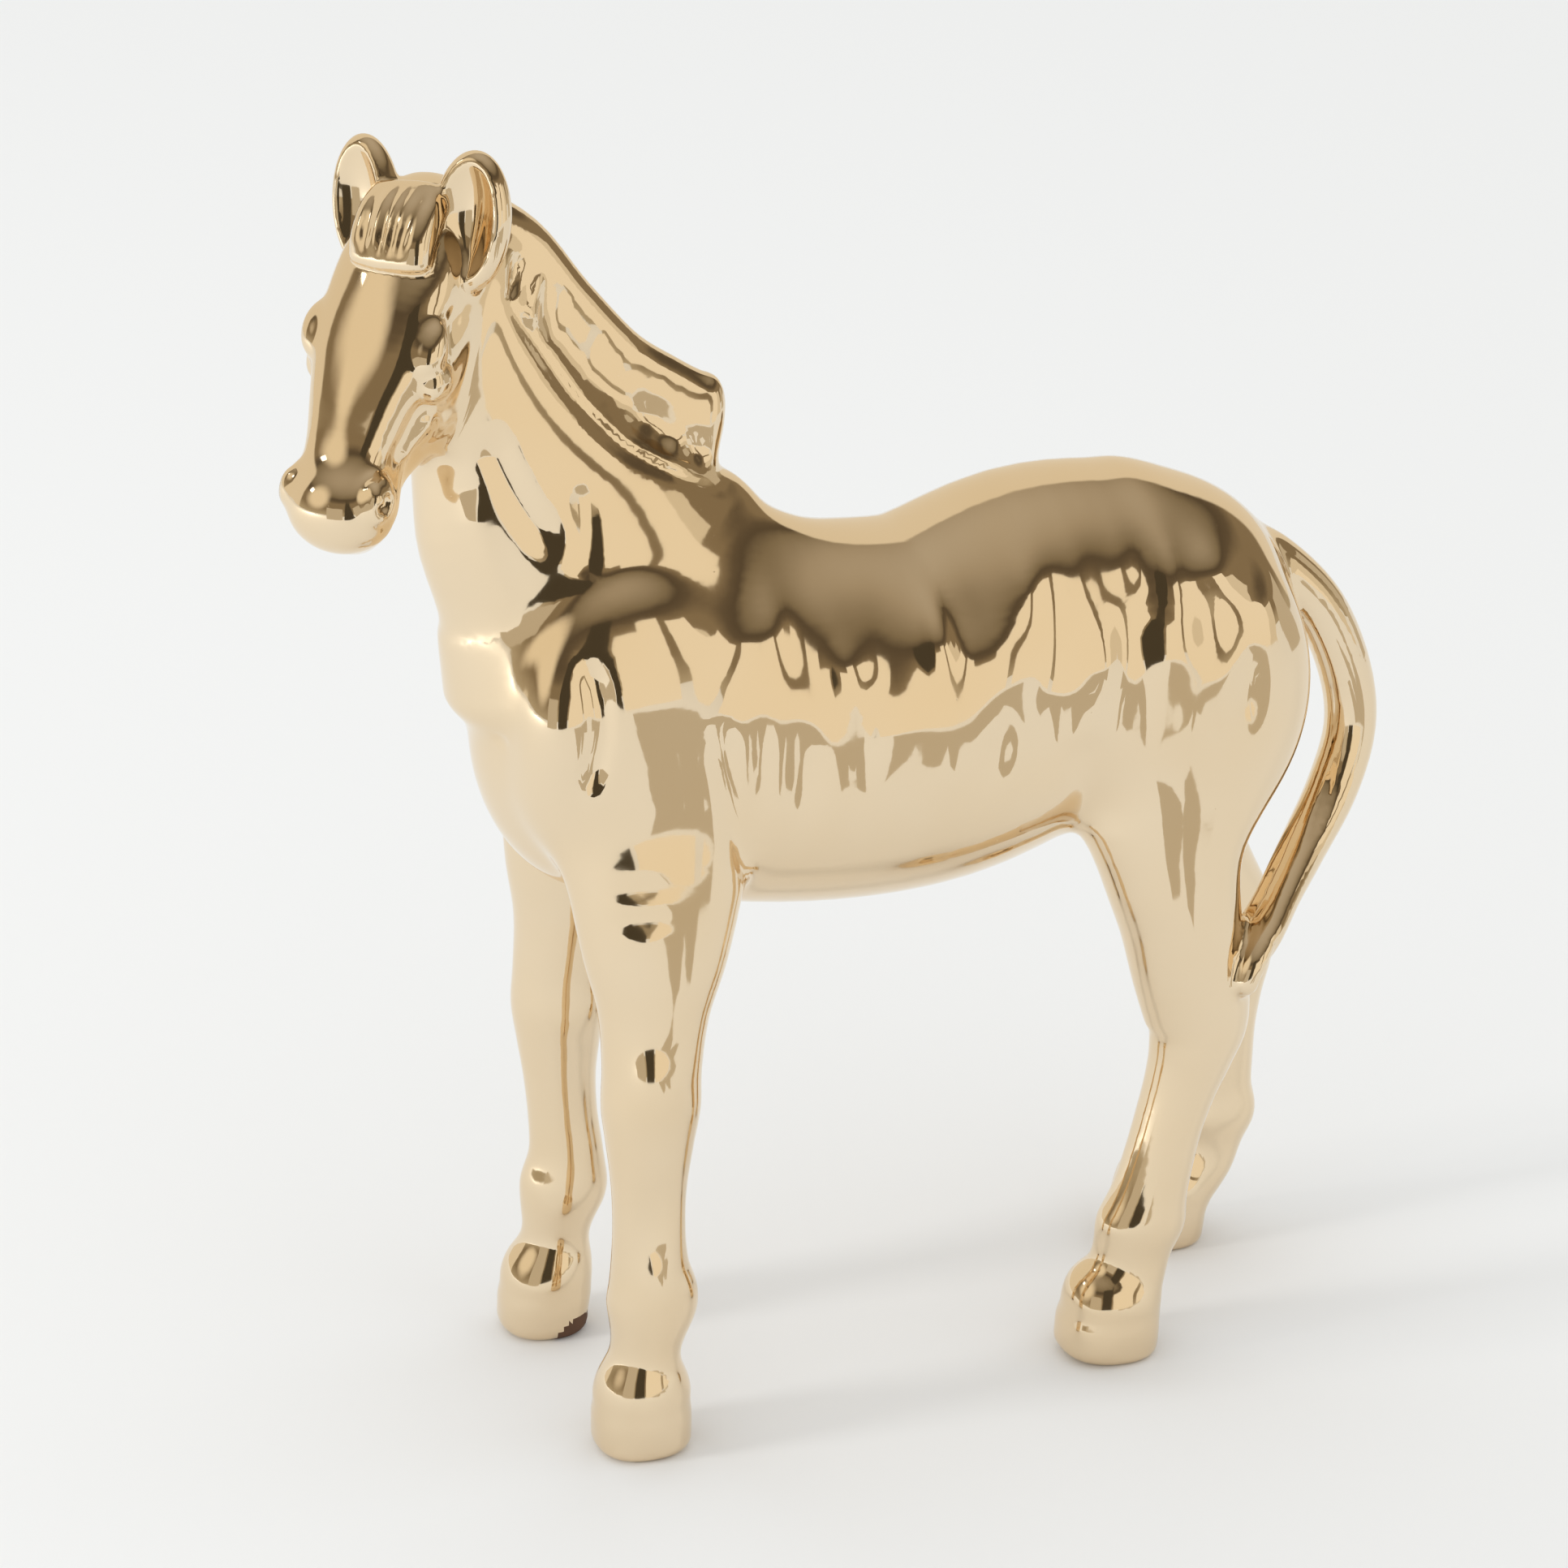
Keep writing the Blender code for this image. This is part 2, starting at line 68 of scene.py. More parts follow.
# Main sizes in figure units, widths and depths as half sizes
BARREL_WIDTH = 33.5
BARREL_ROUNDING = 25.0
CROUP = (31.0, 29.0, 37.3)
KNEE_HEIGHT = 93.0
HOCK_HEIGHT = 80.0
LEG_ROUNDING = 14.0
HOOF_CORONET = 14.0
HOOF_DOME = 13.0
HOOF_ROUNDING = 4.6
MANE_WIDTH = 6.2

# Each hoof: its centre, its lean, and its half length and half width
HOOVES = (
    (-44.3, -29.4, 0.5, 11.0, 10.6),
    (-49.6, 30.6, 1.5, 10.4, 10.2),
    (70.6, -23.6, 2.0, 11.8, 11.0),
    (103.5, 24.4, 3.0, 11.8, 11.0),
)

# Each pastern: its centre and its reach
PASTERNS = ((-43.3, -30.0, 9.2), (-46.4, 30.0, 9.2), (76.2, -24.0, 9.6), (114.5, 24.0, 9.6))

# Head: half sizes in head units, which HEAD_SIZE scales
BROW = (6.6, 4.2, 4.0)
EYE = (4.8, 4.4, 4.2)
MUZZLE = (10.0, 12.8, 10.5)
CHIN = (6.5, 7.6, 5.0)
CHEEK = (19.0, 7.5, 15.5)
NOSTRIL_RIM = (6.0, 4.0, 4.5)
NOSTRIL = (2.6, 2.2, 1.8)
EAR_LEAF = (16.2, 9.4, 5.8)
EAR_HOLLOW = (19.2, 9.3, 13.9)
EAR_HOLLOW_RISE = 1.4
EAR_HOLLOW_OUT = 12.0
EAR_TURN = 0.15

# Head pose: the place of the poll, the nose's slope below level, and the turn to the foal's left
POLL = np.array((-83.0, -3.2, 283.0))
HEAD_SIZE = 0.91
EAR_SHIFT = 1.9
NOSE_SLOPE = np.radians(58.0)
HEAD_TURN = np.radians(40.0)

UP = np.array((0.0, 0.0, 1.0))
AHEAD = np.array((-np.cos(HEAD_TURN), -np.sin(HEAD_TURN), 0.0))
DOWN_FACE = AHEAD * np.cos(NOSE_SLOPE) - UP * np.sin(NOSE_SLOPE)
OUT_OF_FACE = AHEAD * np.sin(NOSE_SLOPE) + UP * np.cos(NOSE_SLOPE)
LEFT_OF_FACE = np.cross(OUT_OF_FACE, DOWN_FACE)
HEAD_AXES = (DOWN_FACE, LEFT_OF_FACE, OUT_OF_FACE)

# How far marks in the clay reach, in their own widths, and how fast open creases fade in
MARK_REACH = 2.6
FADE = 5.0

# Heights of the groove round each pastern and the crease round each hoof's wall
PASTERN_LEVEL = 26.0
RIM_LEVEL = 12.5
RING_PLACES = 13

# Soft waves of hand-worked clay along the flanks, about one every 9 mm
WAVE_PLACES = np.arange(-13.0, 108.0, 9.5)
WAVE_LEVELS = (162.0, 178.0, 190.0)
WAVE_HEIGHT = 1.35
WAVE_SEED = 11

# Painted shade: a patch in the dark clay colour at the foot of the right fore hoof's rim, on its side away
# from the key light where it meets the floor
SHADE_PATCH_CENTRE = Vector((-42.5, 22.0, -0.5))
SHADE_PATCH_REACH = 7.0

# Steps along each sweep, leg and crease between its rows
SWEEP_STEPS = 5
LEG_STEPS = 8
CREASE_STEPS = 6

# Drawing the skin on: the field's reach, its probe and its steps
SLIDES = 2
FAR = 60.0
REACH = 5.0
TINY = 1e-9
GRADIENT_STEP = 0.15
LEAST_STEEPNESS = 0.15
LONGEST_STEP = 2.5
FIRST_ROUNDS = 3
LAST_ROUNDS = 1
EVENINGS = 2
EVENING_SHARE = 0.5

# The finer skin starts ahead of and above these
HEAD_BEHIND = -62.0
HEAD_BELOW = 205.0

# Closing the skin: the solid's corners merge in metres, and the soles are level in figure units
MERGE_REACH = 2e-6
CUT_REACH = 1e-4
SOLE_REACH = 1e-3
FACES_DOWN = -0.99

# Bump of the orange peel, and the size of the bare clay's stains, in metres
PEEL_HEIGHT = 0.0001
PEEL_STRENGTH = 0.12
STAIN_SIZE = 0.003846
STAIN_SHADE = 0.55

# Where the pinholes end, as a share of their spacing, and how the lustre's gloss drifts
PINHOLE_SHARE = 0.035
CLOUD_LOW, CLOUD_HIGH = 0.3, 0.7
GLOSS_DRIFT = 0.4

# The photograph's camera, in figure units about the figure's own origin
PHOTO_PIXELS = 1932
FOCAL_PIXELS = 5600
SENSOR_WIDTH = 36.0
CAMERA_TURN = np.radians(-19.31)
CAMERA_RISE = np.radians(22.0)
CAMERA_DISTANCE = 1000.0
CAMERA_TARGET = np.array((0.0, 0.0, 142.5))

# The pale tent that lights the foal
TENT_COLOUR = "F5F6F6"
TENT_STRENGTH = 1.06

# The dim room that it mirrors, from straight below to straight above
ROOM_BANDS = (
    (0.0, "B3A78F"),
    (0.2, "8A7B63"),
    (0.42, "8A7B63"),
    (0.5, "655948"),
    (0.56, "5A4F40"),
    (0.63, "857964"),
    (0.85, "ADA290"),
    (1.0, "BCB3A4"),
)

# The pale wall on its right, and the edge between the two
WALL_COLOUR = "E8DECB"
WALL_STARTS, WALL_FULL = 0.42, 0.46

# The way to the window that the face mirrors, and the cosines where its glow starts and is full
WINDOW_WAY = (-0.884, -0.095, 0.457)
WINDOW_COLOUR = "EFE3CC"
WINDOW_STARTS, WINDOW_FULL = 0.9, 0.985

# Glowing cards: colour and strength
GLOWS = {
    "cream board": ("FDF4E2", 0.95),
    "tan board": ("CFC5B2", 0.92),
    "dim board": ("4A4336", 1.0),
    "pale curtain": ("E6DCC8", 0.95),
    "window sheet": ("FFFFFF", 3.0),
}

# Upright boards: first and last heading in degrees, distance and height in metres, and the card
BOARDS = (
    (-62, -36, 1.2, 0.5, "tan board"),
    (-33, -12, 1.15, 0.95, "dim board"),
    (-9, 10, 1.15, 0.66, "cream board"),
    (10, 30, 1.15, 0.8, "cream board"),
    (36, 56, 1.15, 0.72, "cream board"),
    (56, 72, 1.15, 0.62, "pale curtain"),
    (84, 104, 1.15, 0.5, "tan board"),
)

# The small bright sheet in the window: headings, distance, foot and top
SHEET = (-108, -101, 2.0, 1.28, 1.56)

# The shaded strip of floor before the boards: its wavy near edge as heading and distance
SHADED_EDGE = ((4, 0.5), (9, 0.27), (16, 0.31), (20, 0.5), (24, 0.3), (29, 0.27), (33, 0.5), (44, 0.45))
SHADED_BACK = ((46, 0.95), (2, 0.95))
SHADED_RISE = 0.002

# The soft window that casts the shadows: its size, its place as a heading, and what it aims at
KEY_SIZE = (0.5, 0.6)
KEY_PLACE = (-90, 2.6, 0.74)
KEY_AIM = Vector((0.0, 0.0, 0.05))


def on_head(down, left, out):
    """Figure coordinates of a place on the head, from its poll: down the face, left, and out of it."""
    return POLL + HEAD_SIZE * (down * DOWN_FACE + left * LEFT_OF_FACE + out * OUT_OF_FACE)


def unit(vectors):
    return vectors / np.linalg.norm(vectors, axis=-1, keepdims=True)


def smooth_rows(rows, steps):
    """Rows of a Catmull-Rom curve through the given rows, steps to each span."""
    rows = np.array(rows, float)
    rows = np.vstack([2 * rows[0] - rows[1], rows, 2 * rows[-1] - rows[-2]])
    t = np.linspace(0.0, 1.0, steps, endpoint=False)[:, None]
    spans = []
    for a, b, c, d in zip(rows, rows[1:], rows[2:], rows[3:]):
        curve = 2 * b + (c - a) * t + (2 * a - 5 * b + 4 * c - d) * t**2
        spans.append(0.5 * (curve + (3 * b - a - 3 * c + d) * t**3))
    spans.append(rows[-2:-1])
    return np.vstack(spans)


def nearest_place(line, points):
    """Each point's squared distance from a line of chords, and its place along it in chords."""
    best = np.full(len(points), np.inf)
    place = np.zeros(len(points))
    for i, step in enumerate(np.diff(line, axis=0)):
        offset = points - line[i]
        t = np.clip(offset @ step / (step @ step), 0.0, 1.0)
        offset -= t[:, None] * step
        gap = (offset**2).sum(1)
        nearer = gap < best
        best[nearer] = gap[nearer]
        place[nearer] = i + t[nearer]
    return best, place


def blend_union(first, second, reach):
    """Union of two distances, filleted where both are within reach of each other."""
    near = np.maximum(reach - np.abs(first - second), 0.0) / reach
    return np.minimum(first, second) - near**3 * reach / 6.0


class Sweep:
    """A mass of oval sections along a smooth path.

    Each row is x, y, z, half depth, half width. Width runs along side, and power squares the
    section off: 2 is an ellipse. cap is how far each end is domed.
    """

    cut = False

    def __init__(self, rows, blend, side=(0.0, 1.0, 0.0), power=2.0, cap=None):
        curve = smooth_rows(rows, SWEEP_STEPS)
        self.centre, self.radii = curve[:, :3], curve[:, 3:5]
        self.tangent = unit(np.gradient(self.centre, axis=0))
        side = np.array(side, float)
        self.side = unit(side - (self.tangent @ side)[:, None] * self.tangent)
        self.front = np.cross(self.tangent, self.side)
        self.spans = np.linalg.norm(np.diff(self.centre, axis=0), axis=1)
        self.blend, self.power = blend, power
        self.cap = cap if cap is not None else float(self.radii[[0, -1]].min())
        margin = self.radii.max() + blend + REACH
        self.low, self.high = self.centre.min(0) - margin, self.centre.max(0) + margin

    def along(self, values, place):
        """Values at places between the path's stations."""
        index = np.clip(np.floor(place).astype(int), 0, len(self.spans) - 1)
        share = (place - index)[:, None]
        return values[index] * (1.0 - share) + values[index + 1] * share

    def distance(self, points):
        """Distance to the mass, from the place where its smooth path is square to each point.

        Beyond its ends the mass goes on tapering as it does up to them.
        """
        count = len(self.spans)
        place = nearest_place(self.centre, points)[1]
        for _ in range(SLIDES):
            offset = points - self.along(self.centre, place)
            slip = (offset * self.along(self.tangent, place)).sum(1)
            free = place + slip / self.spans[np.minimum(place.astype(int), count - 1)]
            place = np.clip(free, 0.0, count)
        first, last = -self.cap / self.spans[0], count + self.cap / self.spans[-1]
        radii = self.along(self.radii, np.clip(free, first, last))
        offset = points - self.along(self.centre, place)
        depth = np.abs((offset * self.along(self.front, place)).sum(1)) / radii[:, 0]
        width = np.abs((offset * self.along(self.side, place)).sum(1)) / radii[:, 1]
        past = np.abs((offset * self.along(self.tangent, place)).sum(1)) / self.cap
        level = (depth**self.power + width**self.power + past**self.power) ** (1.0 / self.power)
        length = np.sqrt((offset**2).sum(1))
        return length - length / np.maximum(level, TINY)


class Ball:
    """An ellipsoid: centre, half sizes and the axes that they run along, less its own hollow."""

    def __init__(self, centre, radii, blend, axes=None, cut=False, hollow=None):
        self.centre, self.radii = np.array(centre, float), np.array(radii, float)
        self.axes = np.eye(3) if axes is None else np.array(axes)
        self.blend, self.cut, self.hollow = blend, cut, hollow
        margin = self.radii.max() + blend + REACH
        self.low, self.high = self.centre - margin, self.centre + margin

    def distance(self, points):
        offset = (points - self.centre) @ self.axes.T
        level = np.sqrt(((offset / self.radii) ** 2).sum(1))
        steepness = np.sqrt(((offset / self.radii**2) ** 2).sum(1))
        gap = level * (level - 1.0) / np.maximum(steepness, TINY)
        if self.hollow:
            gap = -blend_union(-gap, self.hollow.distance(points), self.hollow.blend)
        return gap


def head_ball(down, left, out, radii, blend, cut=False):
    radii = HEAD_SIZE * np.array(radii)
    return Ball(on_head(down, left, out), radii, HEAD_SIZE * blend, HEAD_AXES, cut)


def head_sweep(rows, blend, power=2.0, cap=None):
    """A sweep whose rows are down, left, out, half depth, half width."""
    rows = [(*on_head(*row[:3]), HEAD_SIZE * row[3], HEAD_SIZE * row[4]) for row in rows]
    return Sweep(rows, HEAD_SIZE * blend, LEFT_OF_FACE, power, cap)


def leg(joints, girths, blend):
    """A leg: joints are x, y, z from the body down, girths are z, half depth, half width."""
    path = smooth_rows(joints, LEG_STEPS)
    rows = []
    for z, depth, width in girths:
        x = np.interp(-z, -path[:, 2], path[:, 0])
        y = np.interp(-z, -path[:, 2], path[:, 1])
        rows.append((x, y, z, depth, width))
    return Sweep(rows, blend, cap=LEG_ROUNDING)


def hoof(x, y, toe, half_length, half_width):
    """A hoof's upright wall and the dome of its coronet; toe is how far it leans forward."""
    wall = [
        (x + toe * 0.6, y, HOOF_CORONET, half_length * 0.9, half_width * 0.92),
        (x + toe * 0.2, y, 9.0, half_length * 0.99, half_width),
        (x, y, 4.2, half_length, half_width),
    ]
    dome = (half_length * 0.99, half_width * 0.99, HOOF_DOME)
    coronet = Ball((x + toe * 0.6, y, HOOF_CORONET), dome, 2)
    return [Sweep(wall, 2.5, power=2.4, cap=HOOF_ROUNDING), coronet]


def trunk():
    barrel = [
        (-44, 0, 168, 38, BARREL_WIDTH - 5.5),
        (-22, 0, 162.5, 41.5, BARREL_WIDTH - 2.5),
        (5, 0, 158.9, 43, BARREL_WIDTH - 0.5),
        (32, 0, 158.9, 42.5, BARREL_WIDTH),
        (58, 0, 167.1, 42.3, BARREL_WIDTH - 2.0),
        (80, 0, 169.6, 39.4, BARREL_WIDTH - 4.5),
    ]
    neck = [
        (-41, 0, 182, 36, 25),
        (-46.1, 0, 200, 33.6, 21.5),
        (-55.6, 0, 217, 28.6, 18),
        (-63, 0, 233, 21, 15.5),
        (-69, 0, 249, 17, 13.5),
        (-73, 0, 266, 15, 12),
    ]
    masses = [
        Sweep(barrel, 1.0, cap=BARREL_ROUNDING),
        Ball((89, 0, 166), CROUP, 14),
        Ball((-41, 0, 160), (26, 28, 34), 14),
        Sweep(neck, 16, cap=12),
        Ball((-21, 0, 195), (25, 14, 14), 14),
        Ball((-16.5, 0, 206), (9, 7, 10), 10),
    ]
    for side in (-1, 1):
        masses += [
            Ball((-42, 21 * side, 168), (22, 11, 32), 10),
            Ball((-54, 17 * side, 159), (11.5, 11, 16), 8),
            Ball((89.5, 17 * side, 157), (27.8, 15, 34), 12),
        ]
    return masses


# Girths of the fore and hind legs: height, half depth, half width
FORE_GIRTHS = (
    (152, 22, 11),
    (136, 20, 12),
    (118, 16.2, 11.5),
    (105, 12.3, 10.6),
    (93, 11.0, 9.8),
    (84, 11.0, 10),
    (75, 9.7, 8.8),
    (65, 8.4, 7.8),
    (55, 8.1, 7.5),
    (46, 8.7, 7.9),
    (38, 10.3, 8.9),
    (31, 9.7, 9.1),
    (25, 9.3, 9.1),
    (20, 9.8, 9.7),
    (14, 10.4, 10.2),
)
HIND_GIRTHS = (
    (150, 24.5, 13),
    (132, 21.2, 13.5),
    (119, 16.6, 12.5),
    (107, 14.3, 11.5),
    (95, 13.6, 10.2),
    (82, 12.3, 9.2),
    (74, 10.2, 8.5),
    (66, 8.7, 7.7),
    (57, 8.1, 7.4),
    (48, 8.3, 7.4),
    (40, 9.0, 7.7),
    (32, 10.9, 8.9),
    (24, 10.4, 8.9),
    (14, 9.8, 9.4),
)


def legs():
    near_fore = [(-37, -20, 156), (-37.8, -25, 130), (-40.6, -29, KNEE_HEIGHT), (-41.9, -30, 65)]
    near_fore += [(-42, -30, 46), (-41.5, -30, 35), (-43.8, -30, 22), (-44.5, -30, 10)]
    far_fore = [(-37, 20, 156), (-39, 25, 130), (-43.9, 29, KNEE_HEIGHT), (-44.3, 30, 65)]
    far_fore += [(-43.2, 30, 46), (-44.3, 30, 35), (-46.8, 30, 22), (-49, 30, 10)]
    near_hind = [(86.5, -14, 152), (84.5, -19.5, 124), (88.7, -22, 97), (91.3, -22.6, HOCK_HEIGHT)]
    near_hind += [(85.1, -23.3, 58), (80.3, -24, 40), (77.8, -24, 30), (73, -24, 18), (70.8, -24, 8)]
    far_hind = [(88.5, 14, 152), (97, 19.5, 124), (111, 22, 97), (120, 22.6, HOCK_HEIGHT)]
    far_hind += [(119.5, 23.3, 58), (118.5, 24, 40), (117, 24, 28), (109, 24, 16), (105, 24, 6)]
    masses = [
        leg(near_fore, FORE_GIRTHS, 9),
        leg(far_fore, FORE_GIRTHS, 9),
        leg(near_hind, HIND_GIRTHS, 9),
        leg(far_hind, HIND_GIRTHS, 9),
    ]
    for place in HOOVES:
        masses += hoof(*place)
    return masses


def head():
    skull = [
        (1, 0, -9, 9, 10.5),
        (12, 0, -9.5, 11.5, 15),
        (23, 0, -10.5, 12.5, 16.8),
        (35, -0.5, -11, 12, 16.6),
        (46, -1, -11, 10.5, 13.4),
        (56, -1.2, -11.5, 9, 11.3),
        (64, -0.8, -12, 9, 11.4),
    ]
    jaw = [(30, 0, -27, 11, 9.5), (44, 0, -25.5, 10, 8.5), (56, 0, -20.5, 7.5, 7), (65, 0, -18, 6, 7.5)]
    masses = [
        head_sweep(skull, 8, power=2.6, cap=8),
        head_sweep(jaw, 6, cap=6),
        head_ball(70, -0.7, -12, MUZZLE, 5),
        head_ball(71.9, -0.8, -18.8, CHIN, 3),
        head_ball(6, 0, -18, (14, 11.5, 14), 8),
    ]
    for side in (-1, 1):
        masses += [
            head_ball(32, 8 * side, -23, CHEEK, 5),
            head_ball(31.5, 15.4 * side, -5.5, BROW, 4),
            head_ball(38, 14.2 * side, -10.4, EYE, 2.4),
            head_ball(67, 10 * side, -8.5, NOSTRIL_RIM, 3),
            head_ball(68, 13.5 * side, -8.5, NOSTRIL, 1, cut=True),
        ]
    return masses


def ear(side):
    """A cupped ear: an upright leaf with a hollow in its forward face."""
    faces = unit(AHEAD + EAR_TURN * side * LEFT_OF_FACE)
    across = np.cross(UP, faces)
    foot = on_head(17, 12.8 * side + EAR_SHIFT, -12.5)
    tip = on_head(-11.6, 15.5 * side + EAR_SHIFT, 2.0)
    rise = unit(tip - foot)
    middle = (foot + tip) / 2.0
    across = unit(across - (across @ rise) * rise)
    outward = np.cross(across, rise)
    axes = (rise, across, outward)
    cup = middle + EAR_HOLLOW_RISE * rise + EAR_HOLLOW_OUT * outward
    hollow = Ball(cup, HEAD_SIZE * np.array(EAR_HOLLOW), 1.6, axes)
    return Ball(middle + 0.5 * rise, HEAD_SIZE * np.array(EAR_LEAF), 2.2, axes, hollow=hollow)


def hair():
    mane = [
        (-82, -3, 275.5, 8, 5),
        (-72.5, -1, 273.8, 10, 5.4),
        (-63, 0, 266.6, 12, 5.8),
        (-53.8, 0, 252.9, 13, 6),
        (-42.4, 0, 238.3, 14, MANE_WIDTH),
        (-32, 0, 229.6, 15, MANE_WIDTH),
        (-25, 0, 224.4, 16, MANE_WIDTH),
        (-21.5, 0, 223.2, 15.8, MANE_WIDTH),
    ]
    forelock = [
        (0, 1.6, 0.5, 4, 9.5),
        (5, 2.2, 2.2, 4.6, 10.2),
        (11, 2.4, 2.4, 4.6, 10.4),
        (15, 2.4, 1.4, 4.0, 10.2),
    ]
    tail = [
        (106, 0, 186.5, 7, 8),
        (117.2, 0, 180.2, 6.4, 7),
        (128.4, 0, 168.6, 6.2, 6.2),
        (135.6, 0, 153, 6.1, 6),
        (137.2, -1, 139, 6, 6),
        (132.2, -3.5, 125.3, 5.9, 6.2),
        (122.3, -9.5, 113.8, 5.2, 6),
        (113, -17.5, 106.8, 4.4, 5.8),
        (105.5, -24, 101.5, 4.3, 6.6),
        (101, -27.3, 96.8, 3.9, 6.8),
        (98.8, -28.8, 92, 3.2, 6),
    ]
    return [
        Sweep(mane, 7, power=2.6, cap=6),
        head_sweep(forelock, 1.5, power=3, cap=2.5),
        Sweep(tail, 2.5, cap=3.5),
    ]


class Press:
    """A soft mark in the clay: raised by height, or pressed in where height is negative."""

    def __init__(self, centre, sizes, height, axes=None):
        self.centre, self.sizes = np.array(centre, float), np.array(sizes, float)
        self.height = height
        self.axes = np.eye(3) if axes is None else np.array(axes)
        margin = MARK_REACH * self.sizes.max()
        self.low, self.high = self.centre - margin, self.centre + margin

    def lift(self, points):
        offset = ((points - self.centre) @ self.axes.T) / self.sizes
        return self.height * np.exp(-(offset**2).sum(1))


class Crease:
    """A line in the clay along a smooth path: a groove of the given depth, or a ridge below zero.

    An open line fades out towards both ends.
    """

    def __init__(self, path, width, depth, closed=False):
        self.line = smooth_rows(path, CREASE_STEPS)
        self.width, self.depth, self.closed = width, depth, closed
        margin = MARK_REACH * width
        self.low, self.high = self.line.min(0) - margin, self.line.max(0) + margin

    def lift(self, points):
        gap, place = nearest_place(self.line, points)
        share = place / (len(self.line) - 1)
        fade = 1.0 if self.closed else np.clip(FADE * share, 0, 1) * np.clip(FADE * (1 - share), 0, 1)
        return -self.depth * fade * np.exp(-gap / self.width**2)


def head_crease(path, width, depth, closed=False):
    """A crease whose path is down, left, out on the head."""
    return Crease([on_head(*place) for place in path], width, depth, closed)


def face_marks():
    """Lids, nostril rims, mouth, cheek and temple marks on the head."""
    marks = [
        head_crease([(73, -8, -17.5), (76.5, 0, -16.5), (73, 8, -17.5)], 0.9, 1.0, closed=True),
        Press(on_head(20, 0, 1), (9, 5, 4), 0.5, HEAD_AXES),
        Press(on_head(48, 0, -1.5), (12, 3.4, 4), 0.5, HEAD_AXES),
        Press(on_head(31.5, 18.5, -3.5), (6.4, 5, 4.4), -1.2, HEAD_AXES),
    ]
    for side in (-1, 1):
        upper_lid = [(34, 14.5, -7.5), (36.5, 17, -7.6), (40, 17.2, -8.8), (42.5, 15.4, -11)]
        lower_lid = [(34.5, 16, -10.5), (37.5, 17.6, -13.2), (41, 16.6, -13)]
        crest = [(44, 14.6, -15), (51, 11.8, -15.5), (57, 9.6, -15)]
        nostril = [(64, 9.5, -5), (66.5, 12.5, -4.6), (70.5, 13.4, -7), (71, 12, -10.5)]
        mouth = [(73, 8, -17.5), (68, 10.8, -17.6), (62, 9.8, -18.6)]
        jaw_edge = [(20, 13.5, -31), (33, 14.2, -34), (46, 12.6, -31), (54, 9.6, -26)]
        for path, width, depth in (
            (upper_lid, 1.1, -0.9),
            (lower_lid, 1.0, -0.55),
            (crest, 2.6, -1.0),
            (nostril, 1.3, -0.9),
            (mouth, 0.9, 0.9),
            (jaw_edge, 2.4, -0.5),
        ):
            sided = [(down, left * side, out) for down, left, out in path]
            marks.append(head_crease(sided, width, depth))
        marks += [
            Press(on_head(25, 16 * side, -9), (5.5, 3.5, 3.5), -1.3, HEAD_AXES),
            Press(on_head(48, 13 * side, -11), (6, 3, 3), -0.9, HEAD_AXES),
            Press(on_head(57, 9.5 * side, -12), (5, 3, 4), -0.9, HEAD_AXES),
            Press(on_head(16, 13.5 * side, -22), (7, 4, 6), -0.7, HEAD_AXES),
        ]
    return marks


def forelock_marks():
    """Grooves between the forelock's locks: place to the left, lean, width and depth."""
    marks = []
    for left, lean, width, depth in (
        (-3.6, 0.6, 1.4, 1.5),
        (1.6, 0.2, 0.9, 1.0),
        (4.6, 0.0, 0.9, 1.1),
        (8.0, -0.5, 1.3, 1.4),
    ):
        path = [(-2, left, 5.4), (6, left + lean, 7.2), (16, left + 2 * lean, 5)]
        marks.append(head_crease(path, width, depth))
    return marks


def mane_marks(side):
    """The mane's lower edge with its lip, the locks above it and three thumb dents."""
    edge = [(-66, 9.5 * side, 263), (-57.5, 10.5 * side, 251), (-50.5, 11.2 * side, 240)]
    edge += [(-41.5, 12.5 * side, 229.5), (-34, 12 * side, 223.5), (-26, 10 * side, 218)]
    edge += [(-17, 7.5 * side, 213.5)]
    lip = [(x + 1.6, y, z + 2.4) for x, y, z in edge]
    marks = [Crease(edge, 1.5, 1.1), Crease(lip, 1.6, -0.7)]
    for top, foot, depth in (
        ((-60, 6.5, 270), (-64, 9.0, 260), 1.2),
        ((-55, 6.5, 266), (-58.5, 9.5, 255), -0.9),
        ((-50, 6.5, 262), (-54, 10, 250), 1.2),
        ((-42, 6.6, 252), (-47, 10.5, 241), 1.3),
        ((-37, 6.8, 247), (-41, 11, 235), -0.8),
        ((-30, 7, 241), (-35, 10.5, 231), 0.9),
    ):
        lock = [(x, y * side, z) for x, y, z in (top, foot)]
        marks.append(Crease(lock, 1.6, depth))
    marks += [
        Press((-33.5, 8 * side, 231.5), (4.4, 5, 3.6), -1.5),
        Press((-29.5, 8 * side, 227.5), (3.0, 4, 2.6), -1.1),
        Press((-22, 7 * side, 224), (2.4, 4, 2.4), -1.3),
    ]
    return marks


def tail_marks():
    """Strands of the tail's brush, and the groove along its loop."""
    marks = []
    for across in (-4.0, 0.0, 4.0):
        strand = [(108.5 + 0.35 * across, -25 + across, 103)]
        strand += [(104.8, -28 + across, 97), (102, -29.5 + across, 91)]
        marks.append(Crease(strand, 1.1, 0.9))
    groove = [(121, -16, 116), (128, -9, 126), (132, -6.5, 140), (130.5, -6, 154)]
    return marks + [Crease(groove, 1.6, 0.9)]


